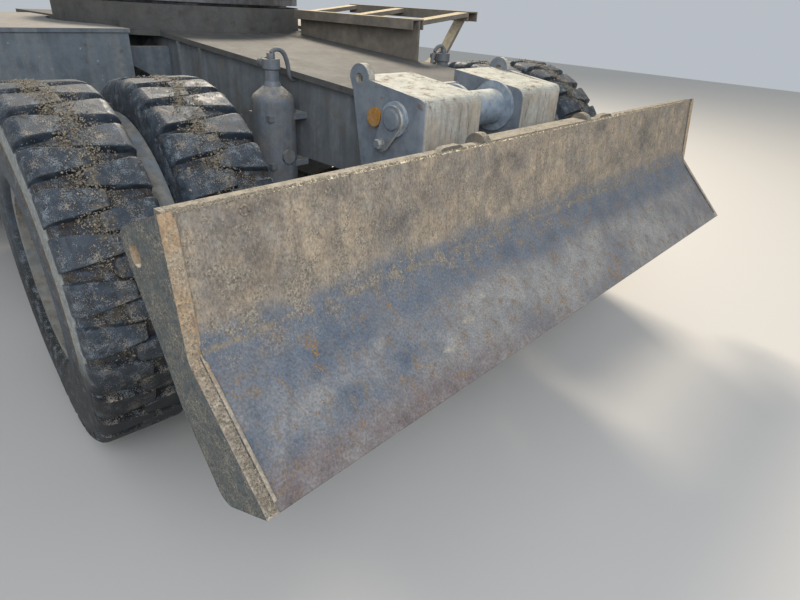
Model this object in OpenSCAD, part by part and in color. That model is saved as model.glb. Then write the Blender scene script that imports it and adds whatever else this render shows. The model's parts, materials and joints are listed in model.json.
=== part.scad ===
// Undercarriage of a wheeled excavator with a dozer blade carried on its nose.
// Forward is -Y, up is +Z and the ground is at z = 0. The machine's left is +X.
// Every module below is drawn with the front axle at y = 0; placed() then moves
// the whole so that the middle of its footprint is at the origin.

/* [Running gear] */
// Distance from the front axle to the rear axle
wheel_base = 2600; // [2500:10:2800]
// Outer radius of a tyre, at its lugs
tyre_r = 535; // [520:1:545]
// Width of one tyre across its side walls
tyre_w = 278; // [260:2:290]
// Depth of the tread's lugs
lug_depth = 26; // [18:1:32]
// Number of lugs in each of a tyre's two rows
lug_count = 30; // [24:1:36]
// Radius of the rim where the tyre's beads sit
bead_r = 254; // [248:1:260]
// Distance between the middles of the two tyres of a pair
twin_pitch = 322; // [312:1:340]
// Distance from the middle of the machine to the middle of a pair
pair_x = 955; // [945:1:975]
// Distance from the middle of the machine to a kingpin
kingpin_x = 720; // [710:1:730]
// Angle at which the front wheels stand, negative to the machine's right
steer_rest = -5.7; // [-12:0.1:12]
// Length of a steering arm, from the kingpin to its ball
steer_arm = 165; // [155:1:168]
// Radius of an axle's beam
beam_r = 95; // [85:1:105]
// Radius of an axle's differential housing
diff_r = 145; // [135:1:150]

/* [Chassis] */
// Width of the chassis across its side plates
frame_w = 700; // [660:10:720]
// Thickness of the chassis plates
plate_t = 20; // [12:1:25]
// Height of the deck at the nose
deck_front_z = 1060; // [1050:5:1070]
// Height of the deck under the slewing ring
deck_z = 1140; // [1130:5:1160]
// Distance from the front axle to the kink where the deck turns level
deck_run = 880; // [860:5:900]
// Height of the belly plate between the axles
belly_z = 400; // [370:5:430]
// Overhang of the chassis behind the rear axle
tail_len = 420; // [380:10:460]
// Width of a box beside the chassis
side_box_w = 640; // [600:10:660]

/* [Slewing ring] */
// How far the ring stands behind the middle between the axles
ring_back = 80; // [60:5:100]
// Outer radius of the drum that carries the ring
drum_r = 600; // [580:5:610]
// Height of the drum above the level deck
drum_h = 105; // [90:5:120]
// Outer radius of the slewing ring
ring_r = 610; // [590:5:640]
// Height of the slewing ring
ring_h = 90; // [80:2:110]
// Number of teeth inside the ring's inner race
ring_teeth = 84; // [72:2:96]
// Radius of the bolt circle on the slewing ring's outer race
ring_bolt_r = 580; // [560:5:595]
// Number of bolts on that circle
ring_bolts = 30; // [24:2:36]
// Radius of a bolt hole in the slewing ring
ring_hole_r = 11; // [8:0.5:13]

/* [Blade] */
// Width of the dozer blade
blade_w = 2485; // [2440:5:2520]
// Distance from the front axle to the blade's cutting edge
blade_reach = 1125; // [1110:5:1140]
// Height of the cutting edge with the blade raised
edge_z = 504; // [490:2:520]
// Height of the bend in the mouldboard
bend_z = 723; // [710:1:735]
// How far the bend stands behind the cutting edge
bend_back = 222; // [215:1:230]
// Height of the blade's top edge
top_z = 983; // [970:1:995]
// How far the top edge stands behind the bend
top_back = 32; // [26:1:38]
// Thickness of the mouldboard
board_t = 18; // [14:1:22]
// Thickness of an end plate
end_t = 26; // [20:1:30]
// Distance from the front axle to the blade's pivot
pivot_reach = 380; // [375:1:390]
// Height of the blade's pivot
pivot_z = 360; // [352:1:370]

/* [Blade carrier] */
// Width of one of the carrier's two boxes
box_w = 260; // [250:2:266]
// Distance from the middle of the machine to the middle of a box
box_x = 247; // [245:1:250]
// Distance from the front axle to the front of a box
box_reach = 678; // [670:1:690]
// Thickness of a box's side plates
cheek_t = 25; // [20:1:30]
// Distance from the front axle to the lift cylinders' upper pins
lift_reach = 565; // [560:1:570]
// Height of the lift cylinders' upper pins
lift_z = 1002; // [996:1:1006]
// Bore of a lift cylinder
lift_bore = 90; // [80:1:100]
// Diameter of a lift cylinder's rod
lift_rod = 60; // [50:1:65]
// Radius of the tube between the two boxes
tube_r = 57; // [50:1:60]

/* [Hidden] */
$fn = 64;
fit = 0.1;
seat = 0.3;
race_gap = 0.3;
sheet_t = 10;
axle_z = tyre_r;
mid_y = (wheel_base + tyre_r - blade_reach) / 2;
nose_y = 378;
nose_bottom = axle_z + 255;
nose_lean = 50;
pivot_up = 190;
cross_z = 650;
well_r = 300;
ring_y = wheel_base / 2 + ring_back;
tail_y = wheel_base + tail_len;
ring_base = deck_z + drum_h;
race_r = ring_r - 70;
tooth_r = ring_r - 140;
bend_reach = blade_reach - bend_back;
top_reach = bend_reach - top_back;
pin_r = 30;
pivot_r = 35;
eye_back = 228;
eye_reach = pivot_reach + eye_back;
eye_z = pivot_z + 32;
lift_len = norm([lift_reach - eye_reach, lift_z - eye_z]);
lift_tilt = atan2(lift_reach - eye_reach, lift_z - eye_z);
hub_face = pair_x - kingpin_x;
lock_x = frame_w / 2 + 95;
lock_r = 73;
arm_in = 15;
rod_y = -steer_arm * 0.94;
box_in = frame_w / 2 + 200;
box_y0 = 780;
box_y1 = wheel_base - 600;

// Moves what is drawn around the front axle to the part's own frame.
module placed() translate([0, -mid_y, 0]) children();

// Draws its children on the machine's left for s = 1 and mirrored on its right for s = -1.
module on_side(s) mirror([s < 0 ? 1 : 0, 0, 0]) children();

// Draws its children on both sides of the machine.
module both_sides() for (s = [-1, 1]) on_side(s) children();

// A plate with an outline in the (y, z) plane, from x0 to x0 + t.
module side_plate(points, x0, t)
    translate([x0, 0, 0]) rotate([90, 0, 90]) linear_extrude(t) polygon(points);

// A plate with an outline in the (x, z) plane, from y0 to y0 + t.
module front_plate(points, y0, t)
    translate([0, y0 + t, 0]) rotate([90, 0, 0]) linear_extrude(t) polygon(points);

// A round bar along X, from x0 to x1, centred at (y, z).
module bar_x(r, x0, x1, y = 0, z = 0)
    translate([x0, y, z]) rotate([0, 90, 0]) cylinder(r = r, h = x1 - x0);

// A round bar along Y, from y0 to y1, centred at (x, z).
module bar_y(r, y0, y1, x = 0, z = 0)
    translate([x, y0, z]) rotate([-90, 0, 0]) cylinder(r = r, h = y1 - y0);

// A block from its lowest to its highest corner.
module block(low, high) translate(low) cube(high - low);

// A body of revolution about X: each point of the profile is [x, radius].
module turned_x(profile)
    rotate([0, 90, 0]) rotate_extrude()
        polygon([for (p = profile) [p[1], p[0]]]);

// Points on an arc around c, from one angle to another.
function arc(c, r, from, to, steps = 6) =
    [for (i = [0 : steps]) c + r * [cos(from + (to - from) * i / steps), sin(from + (to - from) * i / steps)]];

// The direction to the left of a walk from a to b, one unit long.
function left_of(a, b) = [a[1] - b[1], b[0] - a[0]] / norm(b - a);

// The mitred direction to the left of point i of a path, long enough to keep a plate's thickness.
function mitre(path, i) =
    let (
        before = left_of(path[max(i - 1, 0)], path[max(i, 1)]),
        after = left_of(path[min(i, len(path) - 2)], path[min(i + 1, len(path) - 1)]),
        middle = (before + after) / norm(before + after)
    )
    middle / (middle * before);

// The far side of a plate that lies to the left of a path.
function far_side(path, t) = [for (i = [0 : len(path) - 1]) path[i] + t * mitre(path, i)];

// The outline of a plate of even thickness that lies to the left of a path.
function bent(path, t) = let (far = far_side(path, t)) concat(path, [for (i = [len(far) - 1 : -1 : 0]) far[i]]);

function deck_at(y) =
    y < deck_run ? deck_front_z + (deck_z - deck_front_z) * (y + nose_y) / (deck_run + nose_y) : deck_z;

// The nose plate's face, which leans forward towards its foot.
function nose_at(z) = -nose_y - nose_lean * (deck_front_z - z) / (deck_front_z - nose_bottom);

// The chassis's lower edge from nose to tail, raised over both axles.
function keel(up) = [
    [nose_at(nose_bottom + up), nose_bottom + up], [430, nose_bottom + up], [640, belly_z + up],
    [wheel_base - 800, belly_z + up], [wheel_base - 640, nose_bottom + up], [tail_y, nose_bottom + up]
];

// The round-topped recess in a chassis side, ahead of the side box.
module side_slot() {
    slot_r = 88;
    slot_y = 1030;
    block([-frame_w, slot_y - slot_r, cross_z + 150], [frame_w, slot_y + slot_r, deck_z - 130]);
    bar_x(slot_r, -frame_w, frame_w, slot_y, deck_z - 130);
}

module chassis_side()
    side_plate(concat(keel(0), [
        [tail_y, deck_z - 60], [tail_y - 120, deck_z - plate_t], [deck_run, deck_z - plate_t],
        [-nose_y, deck_front_z - plate_t]
    ]), frame_w / 2 - plate_t, plate_t);

// An upright rib on a chassis side, from the keel to the deck.
module side_rib(y)
    block([frame_w / 2, y - 8, nose_bottom + 20], [frame_w / 2 + 20, y + 8, deck_at(y - 8) - plate_t]);

// Two eye plates with a pin, for towing.
module tow_jaw() {
    jaw_z = nose_bottom + 90;
    for (z = [jaw_z - 45, jaw_z + 25])
        difference() {
            union() {
                block([-55, tail_y, z], [55, tail_y + 55, z + 20]);
                translate([0, tail_y + 55, z]) cylinder(r = 55, h = 20);
            }
            translate([0, tail_y + 55, z - 1]) cylinder(r = 21, h = 22);
        }
}

// The side plates with what stands between them: nose plate, tail plate, bulkheads and swivel shelf.
module chassis_frame() color("dimgray") placed() {
    inner = frame_w / 2 - plate_t;
    bulkhead_r = ring_r - 60;
    nose_top = deck_front_z - plate_t;
    difference() {
        union() {
            both_sides() chassis_side();
            both_sides() for (y = [560, 740, wheel_base - 420]) side_rib(y);
            both_sides() for (a = [-30, 0, 30]) translate([0, ring_y, 0]) rotate([0, 0, a]) front_plate([
                [frame_w / 2 - plate_t / 2, deck_z - 150], [drum_r - 20, deck_z - plate_t - 25],
                [drum_r, deck_z - plate_t], [frame_w / 2 - plate_t / 2, deck_z - plate_t]
            ], -8, 16);
            side_plate([
                [nose_at(nose_bottom + plate_t), nose_bottom + plate_t], [nose_at(nose_top), nose_top],
                [nose_at(nose_top) + plate_t, nose_top], [nose_at(nose_bottom) + plate_t, nose_bottom + plate_t]
            ], -inner - 1, 2 * inner + 2);
            block([-inner - 1, tail_y - plate_t, nose_bottom + plate_t], [inner + 1, tail_y, deck_z - 60]);
            block([-inner - 1, ring_y - 90, cross_z], [inner + 1, ring_y + 90, cross_z + plate_t]);
            for (y = [ring_y - bulkhead_r, ring_y + bulkhead_r - plate_t])
                block([-inner - 1, y, nose_bottom + plate_t], [inner + 1, y + plate_t, deck_at(y) - plate_t]);
            tow_jaw();
        }
        side_slot();
    }
}

// The deck, level under the ring and sloped towards the nose, with the drum's round platform.
module deck_plate() color("dimgray") placed() {
    half = frame_w / 2 + plate_t;
    difference() {
        union() {
            side_plate([
                [-nose_y, deck_front_z - plate_t], [-nose_y, deck_front_z], [deck_run, deck_z],
                [tail_y - 120, deck_z], [tail_y - 120, deck_z - plate_t], [deck_run, deck_z - plate_t]
            ], -half, 2 * half);
            translate([0, ring_y, deck_z - plate_t]) cylinder(r = drum_r + plate_t, h = plate_t, $fn = 128);
        }
        translate([0, ring_y, deck_z - 100]) cylinder(r = well_r, h = 200);
    }
}

// The bottom plate between the side plates, raised over both axles.
module belly_plate() color("dimgray") placed() difference() {
    side_plate(concat(keel(0), [for (i = [5 : -1 : 0]) keel(plate_t)[i]]), plate_t - frame_w / 2, frame_w - 2 * plate_t);
    bar_y(70, 300, wheel_base - 300, 0, axle_z);
}

// The drum under the ring: a wall on the round platform, and a flange that the fixed race is bolted to.
module slew_pedestal() color("dimgray") placed() translate([0, ring_y, 0])
    rotate_extrude($fn = 128) polygon([
        [drum_r - 24, deck_z], [drum_r, deck_z], [drum_r, ring_base], [tooth_r - 20, ring_base],
        [tooth_r - 20, ring_base - 25], [drum_r - 60, ring_base - 25], [drum_r - 24, ring_base - 45]
    ]);

// The fixed race, with the teeth that the slewing pinion runs in.
module slew_ring_inner() color("gray") placed() translate([0, ring_y, ring_base]) {
    pitch = 360 / ring_teeth;
    difference() {
        cylinder(r = race_r, h = ring_h - 12, $fn = 128);
        translate([0, 0, -1]) linear_extrude(ring_h) polygon([
            for (i = [0 : ring_teeth - 1]) for (p = [[0.06, 0], [0.44, 0], [0.62, 1], [0.88, 1]])
                (tooth_r - 20 * p[1]) * [cos((i + p[0]) * pitch), sin((i + p[0]) * pitch)]
        ]);
    }
}

module slew_ring_outer() color("gray") placed() translate([0, ring_y, ring_base])
    difference() {
        rotate_extrude($fn = 128) polygon([
            [race_r + race_gap, 12], [ring_r - 14, 12], [ring_r - 14, 40], [ring_r, 46], [ring_r, ring_h],
            [race_r + race_gap, ring_h]
        ]);
        for (i = [0 : ring_bolts - 1])
            rotate([0, 0, i * 360 / ring_bolts])
                translate([ring_bolt_r, 0, ring_h - 50]) cylinder(r = ring_hole_r, h = 51, $fn = 24);
    }

// The rotary joint that takes the oil through the ring, with a collar for each of its lines.
module swivel_manifold() color("silver") placed() translate([0, ring_y, cross_z + plate_t]) {
    top = ring_base + ring_h - cross_z - plate_t;
    rotate_extrude() polygon([
        [0, 0], [95, 0], [95, 24], [72, 30], [72, 300], [58, 310], [58, top - 40], [50, top - 20], [0, top - 20]
    ]);
    for (i = [0 : 4]) translate([0, 0, 60 + 45 * i]) rotate([0, 0, 72 * i]) bar_x(17, 0, 92);
}

// An axle's beam with its bell-shaped differential housing, without its ends.
module axle_beam(half_len, bulge_y) {
    bar_x(beam_r, -half_len, half_len);
    translate([0, bulge_y, 0]) turned_x([
        [-260, 0], [-260, beam_r - 40], [-215, beam_r - 2], [-165, diff_r - 24], [-120, diff_r - 6], [-75, diff_r],
        [75, diff_r], [120, diff_r - 6], [165, diff_r - 24], [215, beam_r - 2], [260, beam_r - 40], [260, 0]
    ]);
    both_sides() bar_x(beam_r + 18, half_len - 150, half_len - 120);
}

// The pinion's nose, from the housing at y = 0 to its flange.
module pinion_nose(len)
    rotate([-90, 0, 0]) rotate_extrude() polygon([[0, 0], [118, 0], [112, 30], [84, 70], [75, len - 25], [75, len], [0, len]]);

// One arm of a kingpin fork, drawn on the left with its lower face at z.
module fork_arm(z)
    difference() {
        union() {
            translate([kingpin_x, 0, z]) cylinder(r = 58, h = 42);
            block([kingpin_x - 155, -58, z], [kingpin_x, 58, z + 42]);
        }
        translate([kingpin_x, 0, z - 1]) cylinder(r = 26 + fit, h = 44);
    }

module front_axle() color("dimgray") placed() translate([0, 0, axle_z])
    difference() {
        union() {
            axle_beam(kingpin_x - 140, 35);
            translate([0, 60, 0]) pinion_nose(155);
            block([-45, -10, diff_r - 40], [45, 80, pivot_up]);
            bar_y(45, -10, 80, 0, pivot_up);
            both_sides() {
                front_plate([
                    [kingpin_x - 260, -80], [kingpin_x - 155, -185], [kingpin_x - 130, -185], [kingpin_x - 130, 185],
                    [kingpin_x - 155, 185], [kingpin_x - 260, 80]
                ], -40, 80);
                block([kingpin_x - 180, -65, -185], [kingpin_x - 130, 65, 185]);
                fork_arm(-185);
                fork_arm(143);
                block([lock_x - 50, -100, 60], [lock_x + 50, 0, 110]);
            }
        }
        bar_y(30 + fit, -11, 81, 0, pivot_up);
    }

module axle_cradle() color("dimgray") placed() translate([0, 0, axle_z]) {
    under = nose_bottom - axle_z;
    for (y = [-62, 86])
        difference() {
            front_plate(concat([[-140, under - 15]], arc([0, pivot_up], 45, 200, 340, 12), [[140, under - 15]]), y, 46);
            bar_y(30 + fit, y - 1, y + 47, 0, pivot_up);
        }
    block([-160, -70, under - 15], [160, 140, under]);
    bar_y(30, -70, 140, 0, pivot_up);
}

// The cylinders that lock the axle's swing: a bottle shape in two clamps, with an elbow for its oil.
module lock_cylinders() color("slategray") placed()
    both_sides() translate([lock_x, -50, 0]) {
        foot = axle_z + 112;
        rotate_extrude() polygon(concat([
            [0, foot], [34, foot], [34, foot + 48], [lock_r - 8, foot + 50], [lock_r, foot + 62]
        ], arc([lock_r - 34, 985], 34, 0, 60), [
            [30, 1035], [24, 1050], [24, 1084], [29, 1088], [29, 1118], [0, 1118]
        ]));
        bar_y(15, 0, 62, 0, 1103);
        bar_y(20, 20, 40, 0, 1103);
        bar_y(24, -lock_r - 8, 0, 0, 812);
        for (z = [770, 930])
            difference() {
                block([-95, -62, z], [60, 62, z + 20]);
                translate([0, 0, z - 1]) cylinder(r = 60, h = 22);
            }
    }

module rear_axle() color("dimgray") placed() translate([0, wheel_base, axle_z]) {
    axle_beam(kingpin_x + 10, -35);
    translate([0, -60, 0]) rotate([0, 0, 180]) pinion_nose(155);
    both_sides() {
        block([220, -90, 60], [340, 90, nose_bottom - axle_z]);
        bar_x(112, kingpin_x - 40, pair_x - 125);
        bar_x(60, pair_x - 125, pair_x - 25);
    }
}

// The gearbox with the travel motor on its front.
module travel_gearbox() color("slategray") placed() translate([0, wheel_base, axle_z]) {
    front_plate(concat(
        arc([70, 140], 60, 0, 90), arc([-70, 140], 60, 90, 180), arc([-25, -60], 105, 180, 270), arc([25, -60], 105, 270, 360)
    ), -375, 160 - fit);
    bar_y(80, -400, -375, 0, 148);
    bar_y(72, -520, -400, 0, 148);
    bar_y(60, -600, -520, 0, 148);
}

module drive_shaft() color("gray") placed() {
    bar_y(34, 300, wheel_base - 460, 0, axle_z);
    bar_y(60, 215 + fit, 232, 0, axle_z);
    bar_y(45, 232, 300, 0, axle_z);
    bar_y(45, wheel_base - 460, wheel_base - 392, 0, axle_z);
    bar_y(60, wheel_base - 392, wheel_base - 375 - fit, 0, axle_z);
}

// Puts what is drawn around the kingpin, with x outwards, on side s.
module at_kingpin(s)
    translate([s * kingpin_x, 0, axle_z]) rotate([0, 0, steer_rest]) on_side(s) children();

module knuckle(s) color("slategray") placed() at_kingpin(s) {
    cylinder(r = 55, h = 2 * 138, center = true);
    cylinder(r = 26, h = 2 * 185, center = true);
    turned_x([
        [-60, 0], [-60, 90], [-30, 108], [20, 108], [60, 100], [hub_face - 135, 100], [hub_face - 125, 84],
        [hub_face - 125, 60], [hub_face - 25, 60], [hub_face - 25, 0]
    ]);
    block([-40, -steer_arm, -70], [20, 0, -36]);
    translate([-arm_in, -steer_arm, -70]) cylinder(r = 28, h = 48);
}

// Where the ball of the steering arm on side s stands at rest, from the kingpin.
function ball(s) = [
    s * -arm_in * cos(steer_rest) + steer_arm * sin(steer_rest),
    -steer_arm * cos(steer_rest) + s * -arm_in * sin(steer_rest)
];
rod_shift = steer_arm * sin(steer_rest);
rod_end = 470;

module steer_cylinder() color("slategray") placed() translate([0, rod_y, axle_z]) {
    difference() {
        union() {
            bar_x(40, -200, 200);
            both_sides() bar_x(46, 168, 200);
            both_sides() translate([140, 0, 30]) cylinder(r = 14, h = 24);
        }
        bar_x(30 + fit, -180, 180);
        bar_x(20 + fit, -201, 201);
    }
    both_sides() block([166, 38, -30], [200, -rod_y - beam_r - seat, 30]);
}

module steer_rod() color("silver") placed() translate([rod_shift, rod_y, axle_z]) {
    bar_x(20, -rod_end, rod_end);
    bar_x(30, -20, 20);
    both_sides() translate([rod_end, 0, 0]) sphere(r = 26);
}

module tie_rod(s) color("gray") placed() {
    a = [rod_shift + s * rod_end, rod_y];
    b = [s * kingpin_x, 0] + ball(s);
    d = b - a;
    translate([a[0], a[1], axle_z]) rotate([0, 0, atan2(d[1], d[0])]) difference() {
        union() {
            bar_x(15, 15, norm(d) - 20);
            bar_x(24, 15, 36);
            translate([norm(d), 0, -16]) cylinder(r = 27, h = 34);
            translate([norm(d), 0, -22 + seat]) cylinder(r = 16, h = 20);
        }
        sphere(r = 26 + seat);
    }
}

// A wheel set is drawn with x outwards and x = 0 in the middle of the twin tyres.
module at_wheel(front, s) placed()
    if (front) at_kingpin(s) translate([hub_face, 0, 0]) children();
    else translate([s * pair_x, wheel_base, axle_z]) on_side(s) children();

// The hub with its planetary gear's cover.
module hub(front, s) color("dimgray") at_wheel(front, s) turned_x([
    [-118, 60 + fit], [-118, 158], [-100, 172], [-30, 172], [-30, 186], [0, 186], [0, 150], [70, 146],
    [76, 158], [92, 158], [98, 140], [132, 126], [150, 96], [150, 52], [160, 48], [160, 0], [-20, 0], [-20, 60 + fit]
]);

// The two rims with the disc between them, and the hoop that keeps stones out from between the tyres.
module rims(front, s) color("gray") at_wheel(front, s) {
    half = twin_pitch / 2;
    web_t = 24;
    hoop = twin_pitch / 2 - tyre_w / 2;
    difference() {
        turned_x([
            [-half - 112, bead_r - 14], [-half - 112, bead_r + 20], [-half - 104, bead_r + 20], [-half - 100, bead_r],
            [-half + 100, bead_r], [-half + 104, bead_r + 20], [-half + 112, bead_r + 20], [-half + 118, bead_r - 2],
            [half - 118, bead_r - 2], [half - 112, bead_r + 20], [half - 104, bead_r + 20], [half - 100, bead_r],
            [half + 100, bead_r], [half + 104, bead_r + 20], [half + 112, bead_r + 20], [half + 112, bead_r - 14],
            [web_t + 22, bead_r - 14], [web_t, bead_r - 34], [web_t, 150 + fit], [fit, 150 + fit],
            [fit, bead_r - 34], [-22, bead_r - 14]
        ]);
        for (i = [0 : 7]) rotate([i * 45, 0, 0]) bar_x(14, -30, web_t + 20, 0, 203);
    }
    turned_x([
        [-hoop - 3, 444], [hoop + 3, 444], [hoop + 1, 400], [hoop - 6, 400], [hoop - 5, 434],
        [-hoop + 5, 434], [-hoop + 6, 400], [-hoop - 1, 400]
    ]);
}

// One half of a tyre's section, as [distance from the middle, radius], up to a tread of radius top.
function tyre_wall(top) = [
    [98, bead_r + fit], [98, bead_r + 22], [tyre_w / 2 - 14, bead_r + 50], [tyre_w / 2, bead_r + 120],
    [tyre_w / 2 - 5, top - 60], [tyre_w / 2 - 22, top]
];

function tyre_section(wall) =
    concat(wall, [for (i = [len(wall) - 1 : -1 : 0]) [-wall[i][0], wall[i][1]]]);

// A tyre: the casing, with two rows of block lugs that stand half a pitch apart and reach past the middle.
module tyre() {
    pitch = 360 / lug_count;
    lug = tyre_r * 3.14159 / lug_count * 0.66;
    turned_x(tyre_section(tyre_wall(tyre_r - lug_depth)));
    intersection() {
        turned_x(tyre_section([
            [tyre_w / 2 - 8, tyre_r - lug_depth - 36], [tyre_w / 2 - 21, tyre_r - 7], [tyre_w / 2 - 38, tyre_r]
        ]));
        for (i = [0 : lug_count - 1]) for (k = [-1, 1])
            rotate([(i + k / 4) * pitch, 0, 0]) translate([0, 0, tyre_r - lug_depth - 40]) linear_extrude(80)
                polygon([[k * -14, -0.62 * lug], [k * 92, -lug], [k * tyre_w, -lug], [k * tyre_w, lug],
                    [k * 92, lug], [k * -14, 0.5 * lug]]);
    }
}

module tyres(front, s) color("#2a2c30") at_wheel(front, s)
    for (k = [-1, 1]) translate([k * twin_pitch / 2, 0, 0]) tyre();

// The top of one of the carrier's boxes, which rises towards the deck.
box_rise = 6.45;
box_foot = 790;
nose_r = 35;
ear_r = 42;
ear_at = [-nose_y - 27, deck_front_z + 36];
function box_top(y) = deck_front_z + 7 + (y + box_reach) * tan(box_rise);

// The round at the front top edge of a box, from the top down to its face.
function box_nose(from, to) =
    arc([-box_reach + nose_r, box_top(-box_reach + nose_r) - nose_r / cos(box_rise)], nose_r, from, to);

// The outline of a box's side plate, which ends above in the given points.
function cheek_outline(top_back) = concat(
    [[nose_at(deck_front_z) - fit, deck_front_z], [nose_at(nose_bottom) - fit, nose_bottom],
        [-pivot_reach + 70, pivot_z + 90]],
    arc([-pivot_reach, pivot_z], 70, 0, -170, 10),
    [[-pivot_reach - 96, pivot_z + 120], [-box_reach + 40, box_foot - 50], [-box_reach, box_foot]],
    box_nose(180, 90 + box_rise), top_back
);

module blade_carrier() color("lightslategray") placed() {
    inside = box_x - box_w / 2;
    outside = box_x + box_w / 2;
    back_top = nose_at(deck_front_z) - fit;
    difference() {
        union() {
            side_plate([
                [back_top, deck_front_z], [back_top - cheek_t, deck_front_z],
                [nose_at(nose_bottom + 20) - cheek_t - fit, nose_bottom + 20], [nose_at(nose_bottom + 20) - fit, nose_bottom + 20]
            ], -outside, 2 * outside);
            side_plate([
                [-box_reach + 60, box_foot + 30], [-box_reach + 60, box_foot + 42], [-nose_y - 40, box_foot + 72],
                [-nose_y - 40, box_foot + 60]
            ], -inside - 1, 2 * inside + 2);
            both_sides() {
                side_plate(cheek_outline([[back_top, box_top(back_top)]]), inside, cheek_t);
                side_plate(cheek_outline(arc(ear_at, ear_r, 180, 0, 10)), outside - cheek_t, cheek_t);
                side_plate(bent(concat(
                    [[back_top, box_top(back_top)]], box_nose(90 + box_rise, 180), [[-box_reach, box_foot]]
                ), sheet_t), inside + cheek_t, box_w - 2 * cheek_t);
            }
        }
        both_sides() {
            bar_x(pivot_r + fit, inside - 1, outside + 1, -pivot_reach, pivot_z);
            bar_x(pin_r + fit, inside - 1, outside + 1, -lift_reach, lift_z);
            bar_x(15, outside - cheek_t - 1, outside + 1, ear_at[0], ear_at[1]);
            difference() {
                block([outside - cheek_t, -box_reach - 1, box_foot - 60], [outside + 1, -box_reach + cheek_t, deck_front_z + 20]);
                translate([outside - cheek_t, -box_reach + cheek_t, box_foot - 61]) cylinder(r = cheek_t, h = 350);
            }
        }
    }
}

module carrier_tube() color("slategray") placed() {
    inner = box_x - box_w / 2;
    outer = box_x + box_w / 2;
    difference() {
        union() {
            bar_x(tube_r, -inner, inner, -lift_reach, lift_z);
            both_sides() bar_x(tube_r + 26, inner - 14, inner, -lift_reach, lift_z);
        }
        bar_x(pin_r + fit, -inner - 1, inner + 1, -lift_reach, lift_z);
    }
    bar_x(pin_r, -outer - 12, outer + 12, -lift_reach, lift_z);
    both_sides() difference() {
        bar_x(50, outer, outer + 12, -lift_reach, lift_z);
        bar_x(19, outer + 6, outer + 13, -lift_reach, lift_z);
    }
}

module reflectors() color("orange") placed()
    both_sides() bar_x(28, box_x + box_w / 2, box_x + box_w / 2 + 10, -481, 996);

// Draws around the lift cylinder's upper pin, with -Z along the cylinder.
module at_lift(s) placed() translate([s * box_x, -lift_reach, lift_z]) rotate([lift_tilt, 0, 0]) children();

module lift_barrel(s) color("slategray") at_lift(s) difference() {
    union() {
        bar_x(52, -48, 48);
        translate([0, 0, -lift_len + 115]) cylinder(r = lift_bore / 2 + 14, h = lift_len - 150);
        translate([0, 0, -lift_len + 110]) cylinder(r = lift_bore / 2 + 18, h = 34);
        for (z = [-lift_len + 200, -90]) bar_y(15, 0, lift_bore / 2 + 32, 0, z);
    }
    bar_x(pin_r + fit, -49, 49);
    translate([0, 0, -lift_len + 150]) cylinder(r = lift_bore / 2 + fit, h = lift_len - 240);
    translate([0, 0, -lift_len + 109]) cylinder(r = lift_rod / 2 + fit, h = 60);
}

module lift_rod(s) color("silver") at_lift(s) {
    translate([0, 0, -lift_len + 30]) cylinder(r = lift_rod / 2, h = 330);
    translate([0, 0, -lift_len + 345]) cylinder(r = lift_bore / 2, h = 40);
    bar_x(44, -38, 38, 0, -lift_len);
}

// The mouldboard's face from its top edge over the rounded bend to the cutting edge's seam, as [y, z].
seam_up = 59;
bend_round = 70;
edge = [-blade_reach, edge_z];
bend = [-bend_reach, bend_z];
top_edge = [-top_reach, top_z];
seam = edge + (bend - edge) * seam_up / (bend_z - edge_z);
above = bend + bend_round * (top_edge - bend) / norm(top_edge - bend);
below = bend + bend_round * (edge - bend) / norm(edge - bend);
face = concat([top_edge], [for (i = [0 : 6])
    let (t = i / 6) (1 - t) * (1 - t) * above + 2 * t * (1 - t) * bend + t * t * below], [seam]);
back = far_side(face, board_t);

// How far back the mouldboard reaches at height z.
function back_y(z) = lookup(z, [for (p = back) [p[1], p[0]]]) + seat;

module mouldboard() color("tan") placed()
    side_plate(bent(face, board_t), -blade_w / 2 + end_t, blade_w - 2 * end_t);

// The wear plate along the mouldboard's foot, ground to a bevel behind its edge.
module cutting_edge() color("dimgray") placed() {
    along_edge = (seam - edge) / norm(seam - edge);
    behind = [along_edge[1], -along_edge[0]];
    side_plate([
        seam, edge, edge + 4 * behind, edge + 30 * along_edge + (board_t + 6) * behind, seam + (board_t + 6) * behind
    ], -blade_w / 2 + end_t, blade_w - 2 * end_t);
}

// An end plate: proud of the face by a lip, round at its back corners, with a hole for a shackle.
module blade_ends() color("darkkhaki") placed() both_sides()
    difference() {
        lip = 5;
        side_plate(concat(
            [[-top_reach - lip, top_z + 7], [-bend_reach - lip, bend_z], edge],
            arc([-blade_reach + 140, edge_z - 31], 40, 238, 318),
            [[-bend_reach + 56, bend_z - 133], [-bend_reach + 102, bend_z - 26], [-top_reach + 130, top_z - 174]],
            arc([-top_reach + 133, top_z - 90], 35, -25, 68)
        ), blade_w / 2 - end_t, end_t);
        bar_x(22, blade_w / 2 - end_t - 1, blade_w / 2 + 1, -top_reach + 114, top_z - 105);
    }

// The beam behind the bend, with the ribs, the top band, the middle bracket and the ears above it.
beam_low = bend_z - 90;
beam_top = bend_z + 100;
beam_y = -bend_reach + 110;

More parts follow.
